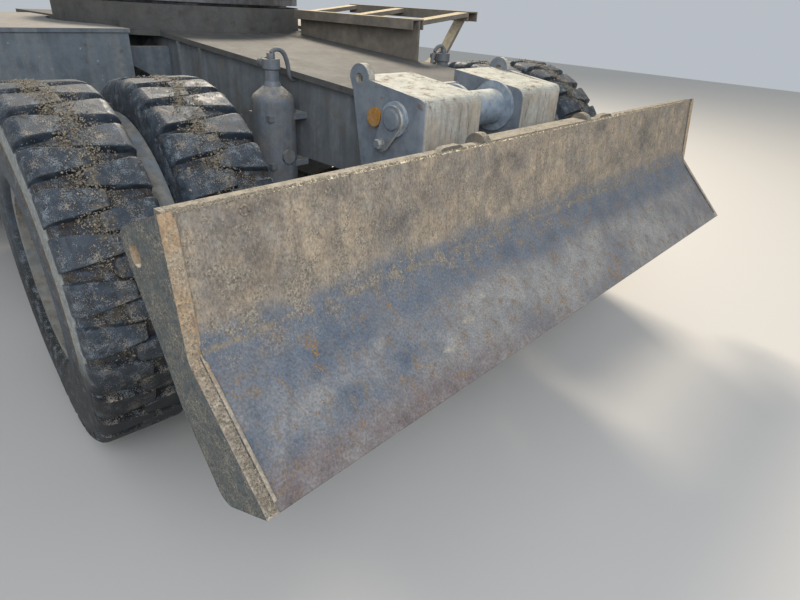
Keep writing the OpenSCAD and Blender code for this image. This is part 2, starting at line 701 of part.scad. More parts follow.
module blade_back() color("darkkhaki") placed() {
    reach = blade_w / 2 - end_t;
    band_z = top_z - 22;
    side_plate(concat(
        [[back_y(beam_top), beam_top]],
        [for (p = back) if (p[1] > beam_low && p[1] < beam_top) p + [seat, 0]],
        [[back_y(beam_low), beam_low], [beam_y - 22, beam_low], [beam_y, beam_low + 22], [beam_y, beam_top - 30]]
    ), -reach + 150, 2 * reach - 300);
    side_plate([
        [back_y(band_z), band_z], [back_y(band_z + 14), band_z + 14], [back_y(top_z) + 48, band_z + 14], [back_y(top_z) + 48, band_z]
    ], -reach, 2 * reach);
    both_sides() {
        for (x = [640, 860, 1050])
            side_plate([
                [back_y(band_z + 4), band_z + 4], [back_y(top_z) + 44, band_z + 4], [beam_y - 25, beam_top - 40],
                [back_y(beam_top - 20), beam_top - 20]
            ], x, 14);
        side_plate(concat(
            [[back_y(beam_top - 20), beam_top - 20], [back_y(band_z + 6), band_z + 6]],
            arc([back_y(top_z) + 42, top_z - 19], 36, 150, 0), [[beam_y - 5, beam_top - 40]]
        ), 285, 28);
        front_plate(concat(
            [[383, beam_top - 30]], arc([383 + 36, top_z - 34], 36, 180, 90), arc([506 - 36, top_z - 34], 36, 90, 0),
            [[506, beam_top - 30]]
        ), back_y(top_z) + 20, 20);
    }
    side_plate([
        [back_y(top_z) + 10, band_z + 4], [back_y(top_z) + 10, top_z - 2], [back_y(top_z) + 66, top_z - 2],
        [back_y(top_z) + 66, band_z + 4]
    ], -286, 572);
}

// The two lift arms: side plates with a bottom plate, a pivot pin and the heads of the rod's pin.
module blade_arms() color("slategray") placed() both_sides() translate([box_x, 0, 0]) {
    plate = 28;
    wide = 60;
    corner = [-bend_reach + 103, pivot_z + 60];
    foot = [back_y(beam_low - 30), beam_low - 30];
    for (k = [-1, 1]) difference() {
        union() {
            bar_x(62, k * wide - plate / 2, k * wide + plate / 2, -pivot_reach, pivot_z);
            side_plate([
                [-pivot_reach, pivot_z - 62], corner, foot, [back_y(beam_low - seat), beam_low - seat],
                [beam_y + seat, beam_low - seat], [beam_y + seat, beam_top - 40],
                [-eye_reach - 60, eye_z + 60], [-pivot_reach, pivot_z + 62]
            ], k * wide - plate / 2, plate);
        }
        bar_x(pivot_r, k * wide - plate / 2 - 1, k * wide + plate / 2 + 1, -pivot_reach, pivot_z);
    }
    side_plate(bent([
        foot + (corner - foot) * 0.15, corner, corner + ([-pivot_reach, pivot_z - 62] - corner) * 0.3
    ], sheet_t + 4), -wide, 2 * wide);
    bar_x(pivot_r, -box_w / 2 - 8, box_w / 2 + 8, -pivot_reach, pivot_z);
    for (k = [-1, 1]) bar_x(26, k * (wide + 22) - 9, k * (wide + 22) + 9, -eye_reach, eye_z);
}

// A storage box beside the chassis on two brackets, with a lid, two doors and a step below.
module toolbox(s) color("gray") placed() on_side(s) {
    x1 = box_in + side_box_w;
    top = deck_z + 15;
    low = belly_z + 160;
    door = (box_y1 - box_y0) / 2;
    difference() {
        union() {
            front_plate([
                [box_in, low], [x1 - 60, low], [x1, low + 80], [x1, top - 15], [box_in, top - 15]
            ], box_y0, box_y1 - box_y0);
            block([box_in - 6, box_y0 - 6, top - 15], [x1 + 6, box_y1 + 6, top]);
        }
        for (i = [0, 1]) translate([x1, box_y0 + i * door, 0]) difference() {
            block([-4, 22, low + 100], [1, door - 22, top - 50]);
            block([-5, 30, low + 108], [2, door - 30, top - 58]);
        }
        translate([0, ring_y, deck_z - 160]) cylinder(r = drum_r + plate_t + 12, h = 200, $fn = 128);
    }
    for (i = [0, 1]) bar_y(9, box_y0 + i * door + 60, box_y0 + i * door + 160, x1 + 4, top - 70);
    for (y = [box_y0 + 80, box_y1 - 130])
        front_plate([
            [frame_w / 2 + seat, top - 240], [frame_w / 2 + seat, top - 75], [box_in, top - 75], [box_in, top - 130]
        ], y, 50);
    for (y = [box_y0 + 380, box_y1 - 400]) block([x1 - 160, y, low - 150], [x1 - 60, y + 12, low]);
    front_plate(bent([
        [x1 - 60, low - 180], [x1 - 60, low - 150], [x1 - 160, low - 150], [x1 - 160, low - 180]
    ], 6), box_y0 + 380, box_y1 - box_y0 - 768);
}

// The step frame on the left of the nose: a wall on the deck, two long bars, treads and bent supports.
module nose_step() color("tan") placed() {
    run = 800;
    near = [290, 360];
    far = [660, 730];
    near_z = 1245;
    far_z = 1282;
    side_plate([
        [0, deck_at(0) + seat], [run, deck_at(run) + seat], [run, near_z - 2], [0, near_z - 2]
    ], 330, sheet_t);
    front_plate(bent([[near[1], near_z - 40], [near[1], near_z], [near[0], near_z], [near[0], near_z - 40]], 6), 0, run);
    front_plate(bent([[far[1], far_z - 40], [far[1], far_z], [far[0], far_z], [far[0], far_z - 40]], 6), 0, run);
    for (y = [0, run / 2, run - 60])
        front_plate([
            [near[1] - 3, near_z - 22], [near[1] - 3, near_z - 4], [far[0] + 3, far_z - 4], [far[0] + 3, far_z - 22]
        ], y, 60);
    for (y = [30, run - 170])
        front_plate(bent([
            [far[0] + 30, far_z - 3], [560, 1110], [430, 1052], [frame_w / 2 + seat, 1040]
        ], 14), y, 50);
}

chassis_frame();
deck_plate();
belly_plate();
slew_pedestal();
slew_ring_inner();
slew_ring_outer();
swivel_manifold();
front_axle();
axle_cradle();
lock_cylinders();
rear_axle();
travel_gearbox();
drive_shaft();
knuckle(1);  // knuckle_left
knuckle(-1);  // knuckle_right
steer_cylinder();
steer_rod();
tie_rod(1);  // tie_rod_left
tie_rod(-1);  // tie_rod_right
hub(true, 1);  // hub_front_left
hub(true, -1);  // hub_front_right
hub(false, 1);  // hub_rear_left
hub(false, -1);  // hub_rear_right
rims(true, 1);  // rims_front_left
rims(true, -1);  // rims_front_right
rims(false, 1);  // rims_rear_left
rims(false, -1);  // rims_rear_right
tyres(true, 1);  // tyres_front_left
tyres(true, -1);  // tyres_front_right
tyres(false, 1);  // tyres_rear_left
tyres(false, -1);  // tyres_rear_right
blade_carrier();
carrier_tube();
reflectors();
lift_barrel(1);  // lift_barrel_left
lift_barrel(-1);  // lift_barrel_right
lift_rod(1);  // lift_rod_left
lift_rod(-1);  // lift_rod_right
blade_arms();
blade_back();
mouldboard();
blade_ends();
cutting_edge();
toolbox(1);  // toolbox_left
toolbox(-1);  // toolbox_right
nose_step();
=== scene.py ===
"""Looks of a wheeled excavator's undercarriage with its dozer blade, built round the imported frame.

The frame holds every solid at its place, in metres: forward is -Y, up is +Z, the machine's left is +X.
"""

import json
import logging
import math
from dataclasses import dataclass, field
from enum import Enum

import bpy
import numpy as np
from mathutils import Matrix, Vector


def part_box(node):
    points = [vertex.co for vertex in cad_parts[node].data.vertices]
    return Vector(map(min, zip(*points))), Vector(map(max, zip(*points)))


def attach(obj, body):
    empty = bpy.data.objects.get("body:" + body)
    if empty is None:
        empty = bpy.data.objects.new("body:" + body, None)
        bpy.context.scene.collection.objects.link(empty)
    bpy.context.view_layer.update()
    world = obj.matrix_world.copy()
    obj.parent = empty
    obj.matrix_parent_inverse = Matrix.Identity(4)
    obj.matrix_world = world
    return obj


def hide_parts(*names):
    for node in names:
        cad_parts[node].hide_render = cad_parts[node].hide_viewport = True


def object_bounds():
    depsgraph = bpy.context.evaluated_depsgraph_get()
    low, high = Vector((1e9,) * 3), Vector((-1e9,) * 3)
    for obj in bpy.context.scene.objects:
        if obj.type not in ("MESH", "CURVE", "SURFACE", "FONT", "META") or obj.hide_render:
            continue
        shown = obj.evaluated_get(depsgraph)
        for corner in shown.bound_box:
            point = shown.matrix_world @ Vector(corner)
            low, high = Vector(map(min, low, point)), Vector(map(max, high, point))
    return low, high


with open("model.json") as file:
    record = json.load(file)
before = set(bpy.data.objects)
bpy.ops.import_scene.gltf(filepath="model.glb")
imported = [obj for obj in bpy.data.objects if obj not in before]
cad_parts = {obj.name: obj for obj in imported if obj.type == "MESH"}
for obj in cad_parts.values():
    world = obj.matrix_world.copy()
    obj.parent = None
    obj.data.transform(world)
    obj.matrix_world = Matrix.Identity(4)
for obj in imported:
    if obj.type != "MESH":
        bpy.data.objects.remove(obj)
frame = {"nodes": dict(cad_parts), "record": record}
CAD_BOX = [list(corner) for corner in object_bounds()]
LOG = logging.getLogger("undercarriage")
MM = 0.001
SIDES = {"left": 1, "right": -1}
Array = np.ndarray
Point = tuple[float, float, float]
Socket = bpy.types.NodeSocket
UP = (0.0, 0.0, 1.0)
FRONT = (0.0, -1.0, 0.0)
STEERED = math.radians(-5.7)  # the front wheels' turn in the photograph


def box(node: str) -> tuple[Array, Array]:
    """Lowest and highest corner of a node of the frame, in metres."""
    low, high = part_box(node)
    return np.array(low), np.array(high)


def linear(code: str) -> tuple[float, ...]:
    """Linear red, green, blue and an alpha of 1 from six hex digits of an sRGB colour."""
    parts = [int(code[k:k + 2], 16) / 255 for k in (0, 2, 4)]
    return (*[p / 12.92 if p <= 0.04045 else ((p + 0.055) / 1.055) ** 2.4 for p in parts], 1.0)


def round_turn(count: int) -> Array:
    """Angles spread evenly once round a circle."""
    return np.linspace(0.0, 2 * np.pi, count, endpoint=False)


def unit(rows: Array) -> Array:
    """Vectors drawn to length 1."""
    return rows / np.linalg.norm(rows, axis=-1, keepdims=True)


def linked(name: str, data: bpy.types.ID) -> bpy.types.Object:
    """A new object for some data, put in the scene."""
    made = bpy.data.objects.new(name, data)
    bpy.context.scene.collection.objects.link(made)
    return made


class Cover(Enum):
    """How a coat lies over the one below."""

    PATCHES = "in patches"
    RUNS = "in streaks that run down"
    GRAINS = "in loose grains"
    WORN = "along worn edges"


PATCHES, RUNS, GRAINS, WORN = Cover
# Octaves, stretch along Z and spread in sizes of each cover's pattern.
PATTERNS = {PATCHES: (7.0, 1.0, 1), RUNS: (5.0, 14.0, 1), GRAINS: (3.0, 1.0, 12)}


@dataclass(frozen=True)
class Band:
    """The values of an attribute, or of height if it has no name, that a coat keeps between."""

    low: float
    high: float
    along: str = ""
    wander: float = 0.0
    fade: float = 0.02


@dataclass(frozen=True)
class Coat:
    """One coat of a finish: its light and dark tone, its roughness, how it lies and where."""

    tones: str
    rough: float
    amount: float = 0.5
    soft: float = 0.08
    size_mm: float = 40.0
    thick_mm: float = 0.0
    facing: tuple[float, ...] = ()
    toward: Point = UP
    cover: Cover = PATCHES
    band: Band | None = None
    metallic: float = 0.0


@dataclass(frozen=True)
class Finish:
    """A finish as a stack of coats over a rounded, grained surface."""

    name: str
    coats: tuple[Coat, ...]
    grain_mm: float = 3.0
    grain_depth_mm: float = 0.12
    swell_mm: float = 0.0
    edge_mm: float = 2.5
    speckle: float = 0.0
    speckle_mm: float = 4.0


SMOOTH = {"interpolation_type": "SMOOTHSTEP"}
MULTIPLY = {"operation": "MULTIPLY"}
MULTIPLY_ADD = {"operation": "MULTIPLY_ADD"}
COLOURS = {"data_type": "RGBA"}
DOT = {"operation": "DOT_PRODUCT"}
WORN_MM = 6.0  # how far wear reaches in from an edge
SWELL_MM = 90.0  # length of the waves that plate has from rolling and blows
FINEST_MM = 2.0  # smallest blob of tone worth drawing


class Painter:
    """Writes the node tree of one material."""

    def __init__(self, name: str) -> None:
        """Starts a tree with its shader and its output."""
        self.skin = bpy.data.materials.new(name)
        self.skin.use_nodes = True
        self.nodes = self.skin.node_tree.nodes
        self.shader = self.nodes["Principled BSDF"]
        self.place = self.add("TexCoord", {}, {}, "Object")
        self.normal = self.place.node.outputs["Normal"]
        self.seed = 0.0

    def add(self, kind: str, settings: dict, inputs: dict, output: int | str = 0) -> Socket:
        """Adds one shader node with its settings and links.

        Args:
            kind: The node's type, without its prefix.
            settings: Values by attribute name.
            inputs: By input name or number, a constant or the socket that feeds it.
            output: The output that is wanted.
        Returns:
            That output's socket.
        """
        made = self.nodes.new("ShaderNode" + kind)
        for key, value in settings.items():
            setattr(made, key, value)
        for key, value in inputs.items():
            self.feed(made.inputs[key], value)
        return made.outputs[output]

    def feed(self, slot: Socket, value: object) -> None:
        """Sets an input to a constant, or links a socket to it."""
        if isinstance(value, Socket):
            self.skin.node_tree.links.new(value, slot)
        else:
            slot.default_value = value

    def spot(self, stretch: float = 1.0) -> Socket:
        """A fresh place on the object, so that no two patterns are alike, drawn out along Z by stretch."""
        self.seed += 3.7
        return self.add("Mapping", {}, {"Vector": self.place, "Location": (self.seed, 2 * self.seed, -self.seed),
                                        "Scale": (1.0, 1.0, 1.0 / stretch)})

    def blobs(self, size_mm: float, detail: float = 4.0, stretch: float = 1.0) -> Socket:
        """A pattern of blobs of a real size with octaves of detail, its values about 0.25 to 0.75."""
        return self.add("TexNoise", {}, {"Vector": self.spot(stretch), "Scale": 1.0 / (size_mm * MM),
                                         "Detail": detail, "Roughness": 0.62})

    def cells(self, coat: Coat, output: str) -> Socket:
        """A pattern of grains of a coat's size: how far each place lies from its grain, or the grain's tone."""
        return self.add("TexVoronoi", {}, {"Vector": self.spot(), "Scale": 1.0 / (coat.size_mm * MM)}, output)

    def lies(self, coat: Coat) -> Socket | float:
        """Where a coat lies: the product of how it lies, the way that it faces and its band.

        Args:
            coat: The coat.
        Returns:
            A mask from 0 to 1.
        """
        edge = 0.75 - coat.amount / 2  # blobs run from 0.25 to 0.75
        shares = []
        if coat.cover is WORN:
            rounded = self.add("Bevel", {"samples": 4}, {"Radius": WORN_MM * MM})
            flat = self.add("NewGeometry", {}, {}, "Normal")
            turn = self.add("VectorMath", DOT, {0: rounded, 1: flat}, "Value")
            turn = self.add("Math", MULTIPLY_ADD, {0: self.blobs(coat.size_mm), 1: 0.12, 2: turn})
            shares.append(self.add("MapRange", SMOOTH, {0: turn, 1: 1.04, 2: 0.96}))
        else:
            detail, stretch, spread = PATTERNS[coat.cover]
            value = self.blobs(coat.size_mm * spread, detail, stretch)
            if coat.cover is GRAINS:
                value = self.add("Math", MULTIPLY_ADD, {0: self.cells(coat, "Distance"), 1: -0.45, 2: value})
                edge -= 0.15
            shares.append(self.add("MapRange", SMOOTH, {0: value, 1: edge - coat.soft, 2: edge + coat.soft}))
        if coat.facing:
            turned = self.add("VectorMath", DOT, {0: self.normal, 1: coat.toward}, "Value")
            shares.append(self.add("MapRange", SMOOTH, {0: turned, 1: coat.facing[0], 2: coat.facing[1]}))
        band = coat.band
        if band:
            if band.along:
                value = self.add("Attribute", {"attribute_name": band.along}, {}, "Fac")
            else:
                value = self.add("SeparateXYZ", {}, {0: self.place}, 2)
            if band.wander:
                stray = self.blobs(coat.size_mm, 6.0)
                value = self.add("Math", MULTIPLY_ADD, {0: stray, 1: 2 * band.wander, 2: value})
            for limit, fade in ((band.low, band.fade), (band.high, -band.fade)):
                limit += band.wander
                shares.append(self.add("MapRange", SMOOTH, {0: value, 1: limit - fade, 2: limit + fade}))
        mask = shares[0]
        for share in shares[1:]:
            mask = self.add("Math", MULTIPLY, {0: mask, 1: share})
        return mask

    def write(self, finish: Finish) -> bpy.types.Material:
        """Lays the coats of a finish over each other and joins them to the shader.

        Args:
            finish: The finish; its first coat covers all.
        Returns:
            The material.
        """
        colour = rough = metal = None
        deep = self.add("Math", MULTIPLY, {0: self.blobs(finish.grain_mm, 3.0), 1: finish.grain_depth_mm})
        if finish.swell_mm:
            deep = self.add("Math", MULTIPLY_ADD, {0: self.blobs(SWELL_MM, 2.0), 1: finish.swell_mm, 2: deep})
        for coat in finish.coats:
            if coat.cover is GRAINS:
                tone = self.cells(coat, "Color")
            else:
                shade = self.blobs(max(coat.size_mm * 0.45, FINEST_MM), 8.0)
                tone = self.add("MapRange", SMOOTH, {0: shade, 1: 0.36, 2: 0.64})
            light, dark = map(linear, coat.tones.split())
            paint = self.add("Mix", COLOURS, {0: tone, 6: dark, 7: light}, 2)
            if colour is None:
                colour, rough, metal = paint, coat.rough, coat.metallic
                continue
            where = self.lies(coat)
            colour = self.add("Mix", COLOURS, {0: where, 6: colour, 7: paint}, 2)
            if rough != coat.rough:
                rough = self.add("Mix", {}, {0: where, 2: rough, 3: coat.rough})
            if metal != coat.metallic:
                metal = self.add("Mix", {}, {0: where, 2: metal, 3: coat.metallic})
            if coat.thick_mm:
                deep = self.add("Math", MULTIPLY_ADD, {0: where, 1: coat.thick_mm, 2: deep})
        if finish.speckle:
            fleck = self.blobs(finish.speckle_mm, 4.0, 1.8)
            low, high = 1 - finish.speckle, 1 + finish.speckle
            fleck = self.add("MapRange", {}, {0: fleck, 1: 0.3, 2: 0.7, 3: low, 4: high})
            colour = self.add("Mix", {**COLOURS, "blend_type": "MULTIPLY"}, {0: 1.0, 6: colour, 7: fleck}, 2)
        for key, value in {"Base Color": colour, "Roughness": rough, "Metallic": metal}.items():
            self.feed(self.shader.inputs[key], value)
        into = {"Height": deep, "Strength": 1.0, "Distance": MM}
        if finish.edge_mm:
            into["Normal"] = self.add("Bevel", {"samples": 4}, {"Radius": finish.edge_mm * MM})
        self.feed(self.shader.inputs["Normal"], self.add("Bump", {}, into))
        return self.skin


DUST = "969189 7a7770"

FINISHES = {
    # Alkyd enamel sprayed on plate: dark grey, half matt, streaked by water, pale where dust settled.
    "frame_paint": Finish("alkyd_paint_grey", (
        Coat("6c7174 5c6164", 0.5, size_mm=160),
        Coat("7a7f82 6f7477", 0.62, 0.4, 0.16, 34, cover=RUNS),
        Coat("6f6c65 605d56", 0.75, 0.3, 0.12, 120),
        Coat(DUST, 0.85, 0.8, 0.16, 60, 0.2, (0.3, 0.9)),
        Coat("8d8577 6e675b", 0.9, 0.34, 0.06, 5, 0.5, (0.2, 0.8), cover=GRAINS),
    ), 2.0, 0.08, speckle=0.07),
    # The same enamel on the deck, dulled by boots and sun to a dusty mid grey, and darkened all over as painted
    # shadow of the upper structure, which is not built.
    "deck_paint_with_painted_shadow": Finish("alkyd_paint_dulled_with_painted_shadow", (
        # Base tone kept dark as painted shadow of the upper structure over the deck and the pedestal.
        Coat("5b5b59 4d4e4c", 0.8, size_mm=180),
        Coat("5f5c57 524f49", 0.85, 0.46, 0.2, 110, 0.2),
        Coat("4a4742 3e3b37", 0.7, 0.24, 0.1, 60),
        Coat("7d7668 5e584d", 0.9, 0.3, 0.06, 4, 0.6, (0.2, 0.8), cover=GRAINS),
    ), 2.0, 0.1, 0.6, speckle=0.14),
    # Enamel on the sheet-metal boxes: blue-grey, stained by drips and rubbed bright in spots.
    "box_paint": Finish("alkyd_paint_on_sheet", (
        Coat("6a737a 5a6268", 0.5, size_mm=130),
        Coat("7d8282 6f7474", 0.7, 0.38, 0.14, 40, cover=RUNS),
        Coat("66564a 53453a", 0.8, 0.17, 0.05, 45),
        Coat("a3a49f 8c8d89", 0.7, 0.15, 0.03, 16),
        Coat("8c8780 7c7872", 0.85, 0.86, 0.24, 90, 0.2, (0.3, 0.9)),
    ), 2.0, 0.08, 1.2, speckle=0.06),
    # Blue-grey enamel on the carrier, under pale mud dried in runs on its faces and in a film on its tops.
    "carrier_paint": Finish("alkyd_paint_blue_grey", (
        Coat("7b848c 687079", 0.46, size_mm=120),
        Coat("848a8e 757b7f", 0.66, 0.4, 0.12, 90),
        Coat("75685a 5f5347", 0.8, 0.24, 0.06, 50, 0.1),
        Coat("bcb9ae a7a499", 0.85, 0.97, 0.06, 40, 0.2, (0.55, 0.85), FRONT),
        Coat("b5a792 a09280", 0.85, 0.44, 0.16, 130, 0.0, (0.6, 0.9), FRONT),
        Coat("9a9789 85837a", 0.8, 0.36, 0.12, 22, 0.0, (0.6, 0.9), FRONT, RUNS),
        Coat("6f6759 5c5649", 0.7, 0.22, 0.05, 9, 0.0, (0.6, 0.9), FRONT, RUNS),
        Coat("bdbcaf a8a79b", 0.8, 0.93, 0.14, 80, 0.1, (0.45, 0.85)),
        Coat("8f7f6a 75664f", 0.85, 0.3, 0.06, 40, 0.15, (0.45, 0.85)),
        Coat("8f8577 6b6356", 0.9, 0.34, 0.06, 5, 0.5, (0.2, 0.8), cover=GRAINS),
        Coat("8b8f90 767b7e", 0.4, size_mm=20, cover=WORN, metallic=0.3),
    ), 2.0, 0.08, 0.5, speckle=0.06),
    # The cross tube: the same enamel, rubbed pale along its top.
    "tube_paint": Finish("alkyd_paint_rubbed", (
        Coat("95a1ac 7b8792", 0.4, size_mm=60),
        Coat("c0c0b5 a5a69e", 0.7, 0.7, 0.12, 70, facing=(0.3, 0.9)),
        Coat("857a6c 6b6155", 0.85, 0.26, 0.08, 40, 0.2),
    ), 2.0, 0.08, speckle=0.06),
    # Axle castings and cylinders: dark enamel, glossy with oil that holds road dust.
    "axle_paint": Finish("oily_axle_paint", (
        Coat("697077 595f65", 0.4, size_mm=90),
        Coat("75726c 625f59", 0.8, 0.42, 0.12, 60, 0.15),
        Coat("747a7e 666c6f", 0.6, 0.4, 0.14, 24, cover=RUNS),
        Coat(DUST, 0.9, 0.66, 0.15, 40, 0.25, (0.3, 0.9)),
        Coat("82796b 635b4f", 0.95, 0.36, 0.06, 5, 0.6, (0.0, 0.7), cover=GRAINS),
    ), 2.5, 0.16, 0.6, speckle=0.08),
    # Forged ring, turned and ground: bright grey under brown grease, metallic.
    "machined_steel": Finish("greased_machined_steel", (
        Coat("7a7a7c 626365", 0.36, size_mm=60, metallic=0.85),
        Coat("55524c 45423d", 0.5, 0.45, 0.2, 70, 0.3),
        Coat("7a766d 66625a", 0.9, 0.5, 0.2, 70, 0.2, (0.3, 0.9)),
    ), 1.5, 0.05),
    # Hard chrome on a piston rod: nearly a mirror, with faint lengthwise polish.
    "chromed_rod": Finish("hard_chromed_rod", (
        Coat("b9babb a9aaab", 0.16, size_mm=50, metallic=1.0),
    ), 1.0, 0.01, 0.0, 1.0),
    # Enamelled rims: grey, mostly hidden by dried mud, with rust where stones chipped them.
    "rim_paint": Finish("rim_enamel_under_mud", (
        Coat("7d8386 686e71", 0.5, size_mm=80),
        Coat("8f8c84 777368", 0.88, 0.6, 0.1, 70, 0.4),
        Coat("6a4a33 4d3524", 0.85, 0.18, 0.05, 25, 0.2),
    ), 3.0, 0.15, speckle=0.08),
    # Moulded rubber: blue-black and matt, pale mud dried on its walls, sand and grit over the tread's middle.
    "tyre_rubber": Finish("tyre_rubber_under_grit", (
        Coat("2f3a45 20272e", 0.5, size_mm=90),
        Coat("46505a 374049", 0.75, 0.38, 0.14, 26),
        Coat("5b656c 2a3037", 0.85, 0.38, 0.05, 6, 0.5, band=Band(0.1, 0.432, "wall", fade=0.004)),
        Coat("9b9d98 80837f", 0.9, 0.97, 0.12, 22, 1.5, band=Band(0.437, 0.492, "wall", 0.010, 0.003)),
        Coat("6b5a44 54462f", 0.9, 0.85, 0.1, 22, 0.6, band=Band(0.424, 0.440, "wall", 0.006, 0.003)),
        Coat("4a433a 2c2824", 0.95, 0.52, 0.1, 30, 0.8, band=Band(0.5, 2.0, "groove", fade=0.1)),
        # Near black below about 0.5 m, on the lower part of each tyre: painted shade.
        Coat("15181b 0f1113", 0.6, 0.95, 0.14, 70, band=Band(-1.0, 0.47, wander=0.06, fade=0.08)),
        Coat("7a7265 544d42", 0.95, 0.5, 0.06, 24, 1.6, (-0.2, 0.7), band=Band(0.8, 2.0, "heap", 0.2, 0.08)),
        Coat("8f979b 555e66", 0.95, 0.44, 0.05, 2.4, 0.8, (-0.6, 0.4), cover=GRAINS),
        Coat("a89f8e 75706a", 0.95, 0.42, 0.05, 3.2, 1.2, (-0.6, 0.3), cover=GRAINS,
             band=Band(0.25, 2.0, "heap", fade=0.2)),
    ), 4.0, 0.3, 1.2, 4.0, 0.16, 4.0),
    # Sand and gravel lying loose or stuck in mud: pale brown grains, each of its own tone.
    "loose_grit": Finish("sand_and_gravel", (
        Coat("9d9381 70685b", 0.95, size_mm=9),
        Coat("b3a891 938874", 0.95, 0.38, 0.1, 8),
    ), 2.0, 0.3, 0.0, 0.0, 0.15),
    # Hot-rolled plate of the mouldboard: sand dried on its upper half, scoured bare below the bend with a blue-grey
    # tint that is painted skylight, and brown with rust at its foot.
    "blade_steel": Finish("dozer_plate_under_sand", (
        Coat("77787b 6b6d70", 0.55, size_mm=160),
        Coat("999690 8b8883", 0.75, 0.6, 0.16, 220, band=Band(0.34, 2.0, "down", fade=0.06)),
        Coat("938b7f 7d756a", 0.88, 0.97, 0.12, 60, 0.3, band=Band(-1.0, 0.245, "down", 0.05, 0.03)),
        Coat("ae9d85 998a75", 0.9, 0.52, 0.1, 75, 0.25, band=Band(-1.0, 0.235, "down", 0.05, 0.03)),
        Coat("6f6861 615b54", 0.85, 0.36, 0.12, 140, band=Band(0.0, 0.17, "down", 0.04, 0.03)),
        # Blue-grey band about the bend: a painted skylight tint on the bare plate.
        Coat("687079 5a626c", 0.5, 0.74, 0.18, 170, band=Band(0.215, 0.36, "down", 0.04, 0.035)),
        Coat("8f8471 7d7261", 0.9, 0.5, 0.08, 40, 0.3, band=Band(0.250, 0.261, "down", 0.006, 0.006)),
        # Darker blue-grey patch near the near end, below the bend: its blue is painted skylight.
        Coat("5e6976 545e6a", 0.42, 0.6, 0.22, 90, band=Band(0.5, 2.0, "blue", 0.25, 0.2)),
        Coat("85796b 75695d", 0.8, 0.28, 0.12, 26, cover=RUNS),
        Coat("786d6b 695f5d", 0.8, 0.62, 0.18, 110, 0.15, band=Band(0.5, 2.0, "foot", 0.25, 0.45), metallic=0.1),
        Coat("8a5f36 6b4629", 0.9, 0.6, 0.08, 30, 0.2, band=Band(0.574, 2.0, "down", 0.003, 0.003)),
        Coat("a3814f 7d5f3a", 0.9, 0.24, 0.03, 4, 0.3, cover=GRAINS, band=Band(0.3, 2.0, "down", fade=0.05)),
        Coat("a89d8a 5d564c", 0.95, 0.5, 0.1, 3.5, 0.5, cover=GRAINS, band=Band(-1.0, 0.3, "down", 0.06, 0.05)),
        Coat("d6ccb0 b5aa90", 0.9, 0.95, 0.1, 30, 0.5, (0.84, 0.96)),
    ), 2.5, 0.26, 0.8, 4.0, 0.34, 4.5),
    # The end plates: the same plate under a crust of wet-cast sand, orange where it rusts at the front lip.
    "end_steel": Finish("sand_crust_on_plate", (
        Coat("5f6565 494e4f", 0.8, size_mm=30),
        Coat("7b796e 5f5e56", 0.95, 0.4, 0.07, 14, 0.8),
        Coat("a39d8e 3b3d3c", 0.95, 0.56, 0.1, 3.4, 1.0, (0.7, 0.3), FRONT, GRAINS),
        Coat("b8ab97 9d9181", 0.9, 0.99, 0.1, 50, 0.3, (0.35, 0.6), FRONT),
        Coat("b59c7b a0866a", 0.9, 0.72, 0.18, 60, 0.2, (0.35, 0.6), FRONT,
             band=Band(0.7, 2.0, wander=0.05, fade=0.07)),
        Coat("c4b79f 8a7b67", 0.9, 0.4, 0.1, 4, 0.5, (0.35, 0.6), FRONT, GRAINS),
        Coat("d6ccb0 b5aa90", 0.9, 0.95, 0.12, 40, 0.6, (0.84, 0.96)),
    ), 3.0, 0.6, 1.5, 6.0, 0.28, 4.5),
    # The blade's back: the same plate, sandy on every ledge and grey on its walls.
    "back_steel": Finish("dozer_plate_back", (
        Coat("6f6e6a 5c5b58", 0.7, size_mm=120),
        Coat("8b8172 756b5d", 0.88, 0.55, 0.1, 70, 0.3),
        Coat("7a5d44 624a36", 0.85, 0.24, 0.07, 60),
        Coat("a39a89 8a8272", 0.9, 0.92, 0.12, 40, 0.6, (0.3, 0.8)),
        Coat("8f8775 57534a", 0.95, 0.44, 0.08, 5, 0.8, (-0.2, 0.6), cover=GRAINS),
    ), 3.0, 0.3, 0.6, 3.0, 0.1, 4.0),
    # Wear plate: bare steel ground bright by soil, browned in patches.
    "edge_steel": Finish("worn_cutting_edge", (
        Coat("7f8387 6c7074", 0.45, size_mm=80),
        Coat("7d6b62 65544a", 0.8, 0.4, 0.08, 70, 0.2),
        Coat("9b9284 6d6459", 0.95, 0.35, 0.04, 5, 0.5, cover=GRAINS),
    ), 3.0, 0.2, 0.6, 3.0),
    # The step frame: worn enamel, tan with sand on all that faces up.
    "step_steel": Finish("step_paint_under_sand", (
        Coat("736d63 635d54", 0.6, size_mm=90),
        Coat("877e70 766d60", 0.9, 0.5, 0.18, 90, 0.2),
        Coat("c2b597 a6997d", 0.95, 0.97, 0.12, 40, 0.5, (0.3, 0.8)),
    ), 2.0, 0.2, 0.5, speckle=0.08),
    # Zinc-plated bolts gone dull, brown in the corners.
    "plated_bolt": Finish("dull_zinc_plated_steel", (
        Coat("7a7d7f 65686a", 0.5, size_mm=20, metallic=0.5),
        Coat("6b5847 54453a", 0.85, 0.5, 0.1, 14, 0.1),
    ), 1.5, 0.1, 0.0, 1.0),
    # Moulded acrylic reflector: clear orange with a film of dust.
    "amber_lens": Finish("amber_acrylic", (
        Coat("b8802f a06c25", 0.3, size_mm=20),
        Coat("a58a66 8c7556", 0.85, 0.45, 0.15, 14),
    ), 1.0, 0.05, 0.0, 1.0),
}

# Nodes whose finish differs from that of their material slot.
DRESSED = {
    "deck_plate": "deck_paint_with_painted_shadow", "slew_pedestal": "deck_paint_with_painted_shadow", "toolbox_left": "box_paint",
    "toolbox_right": "box_paint", "carrier_tube": "tube_paint", "blade_ends": "end_steel", "blade_back": "back_steel",
}


def material(finish: str) -> bpy.types.Material:
    """The material of a finish, written once."""
    wanted = FINISHES[finish]
    return bpy.data.materials.get(wanted.name) or Painter(wanted.name).write(wanted)


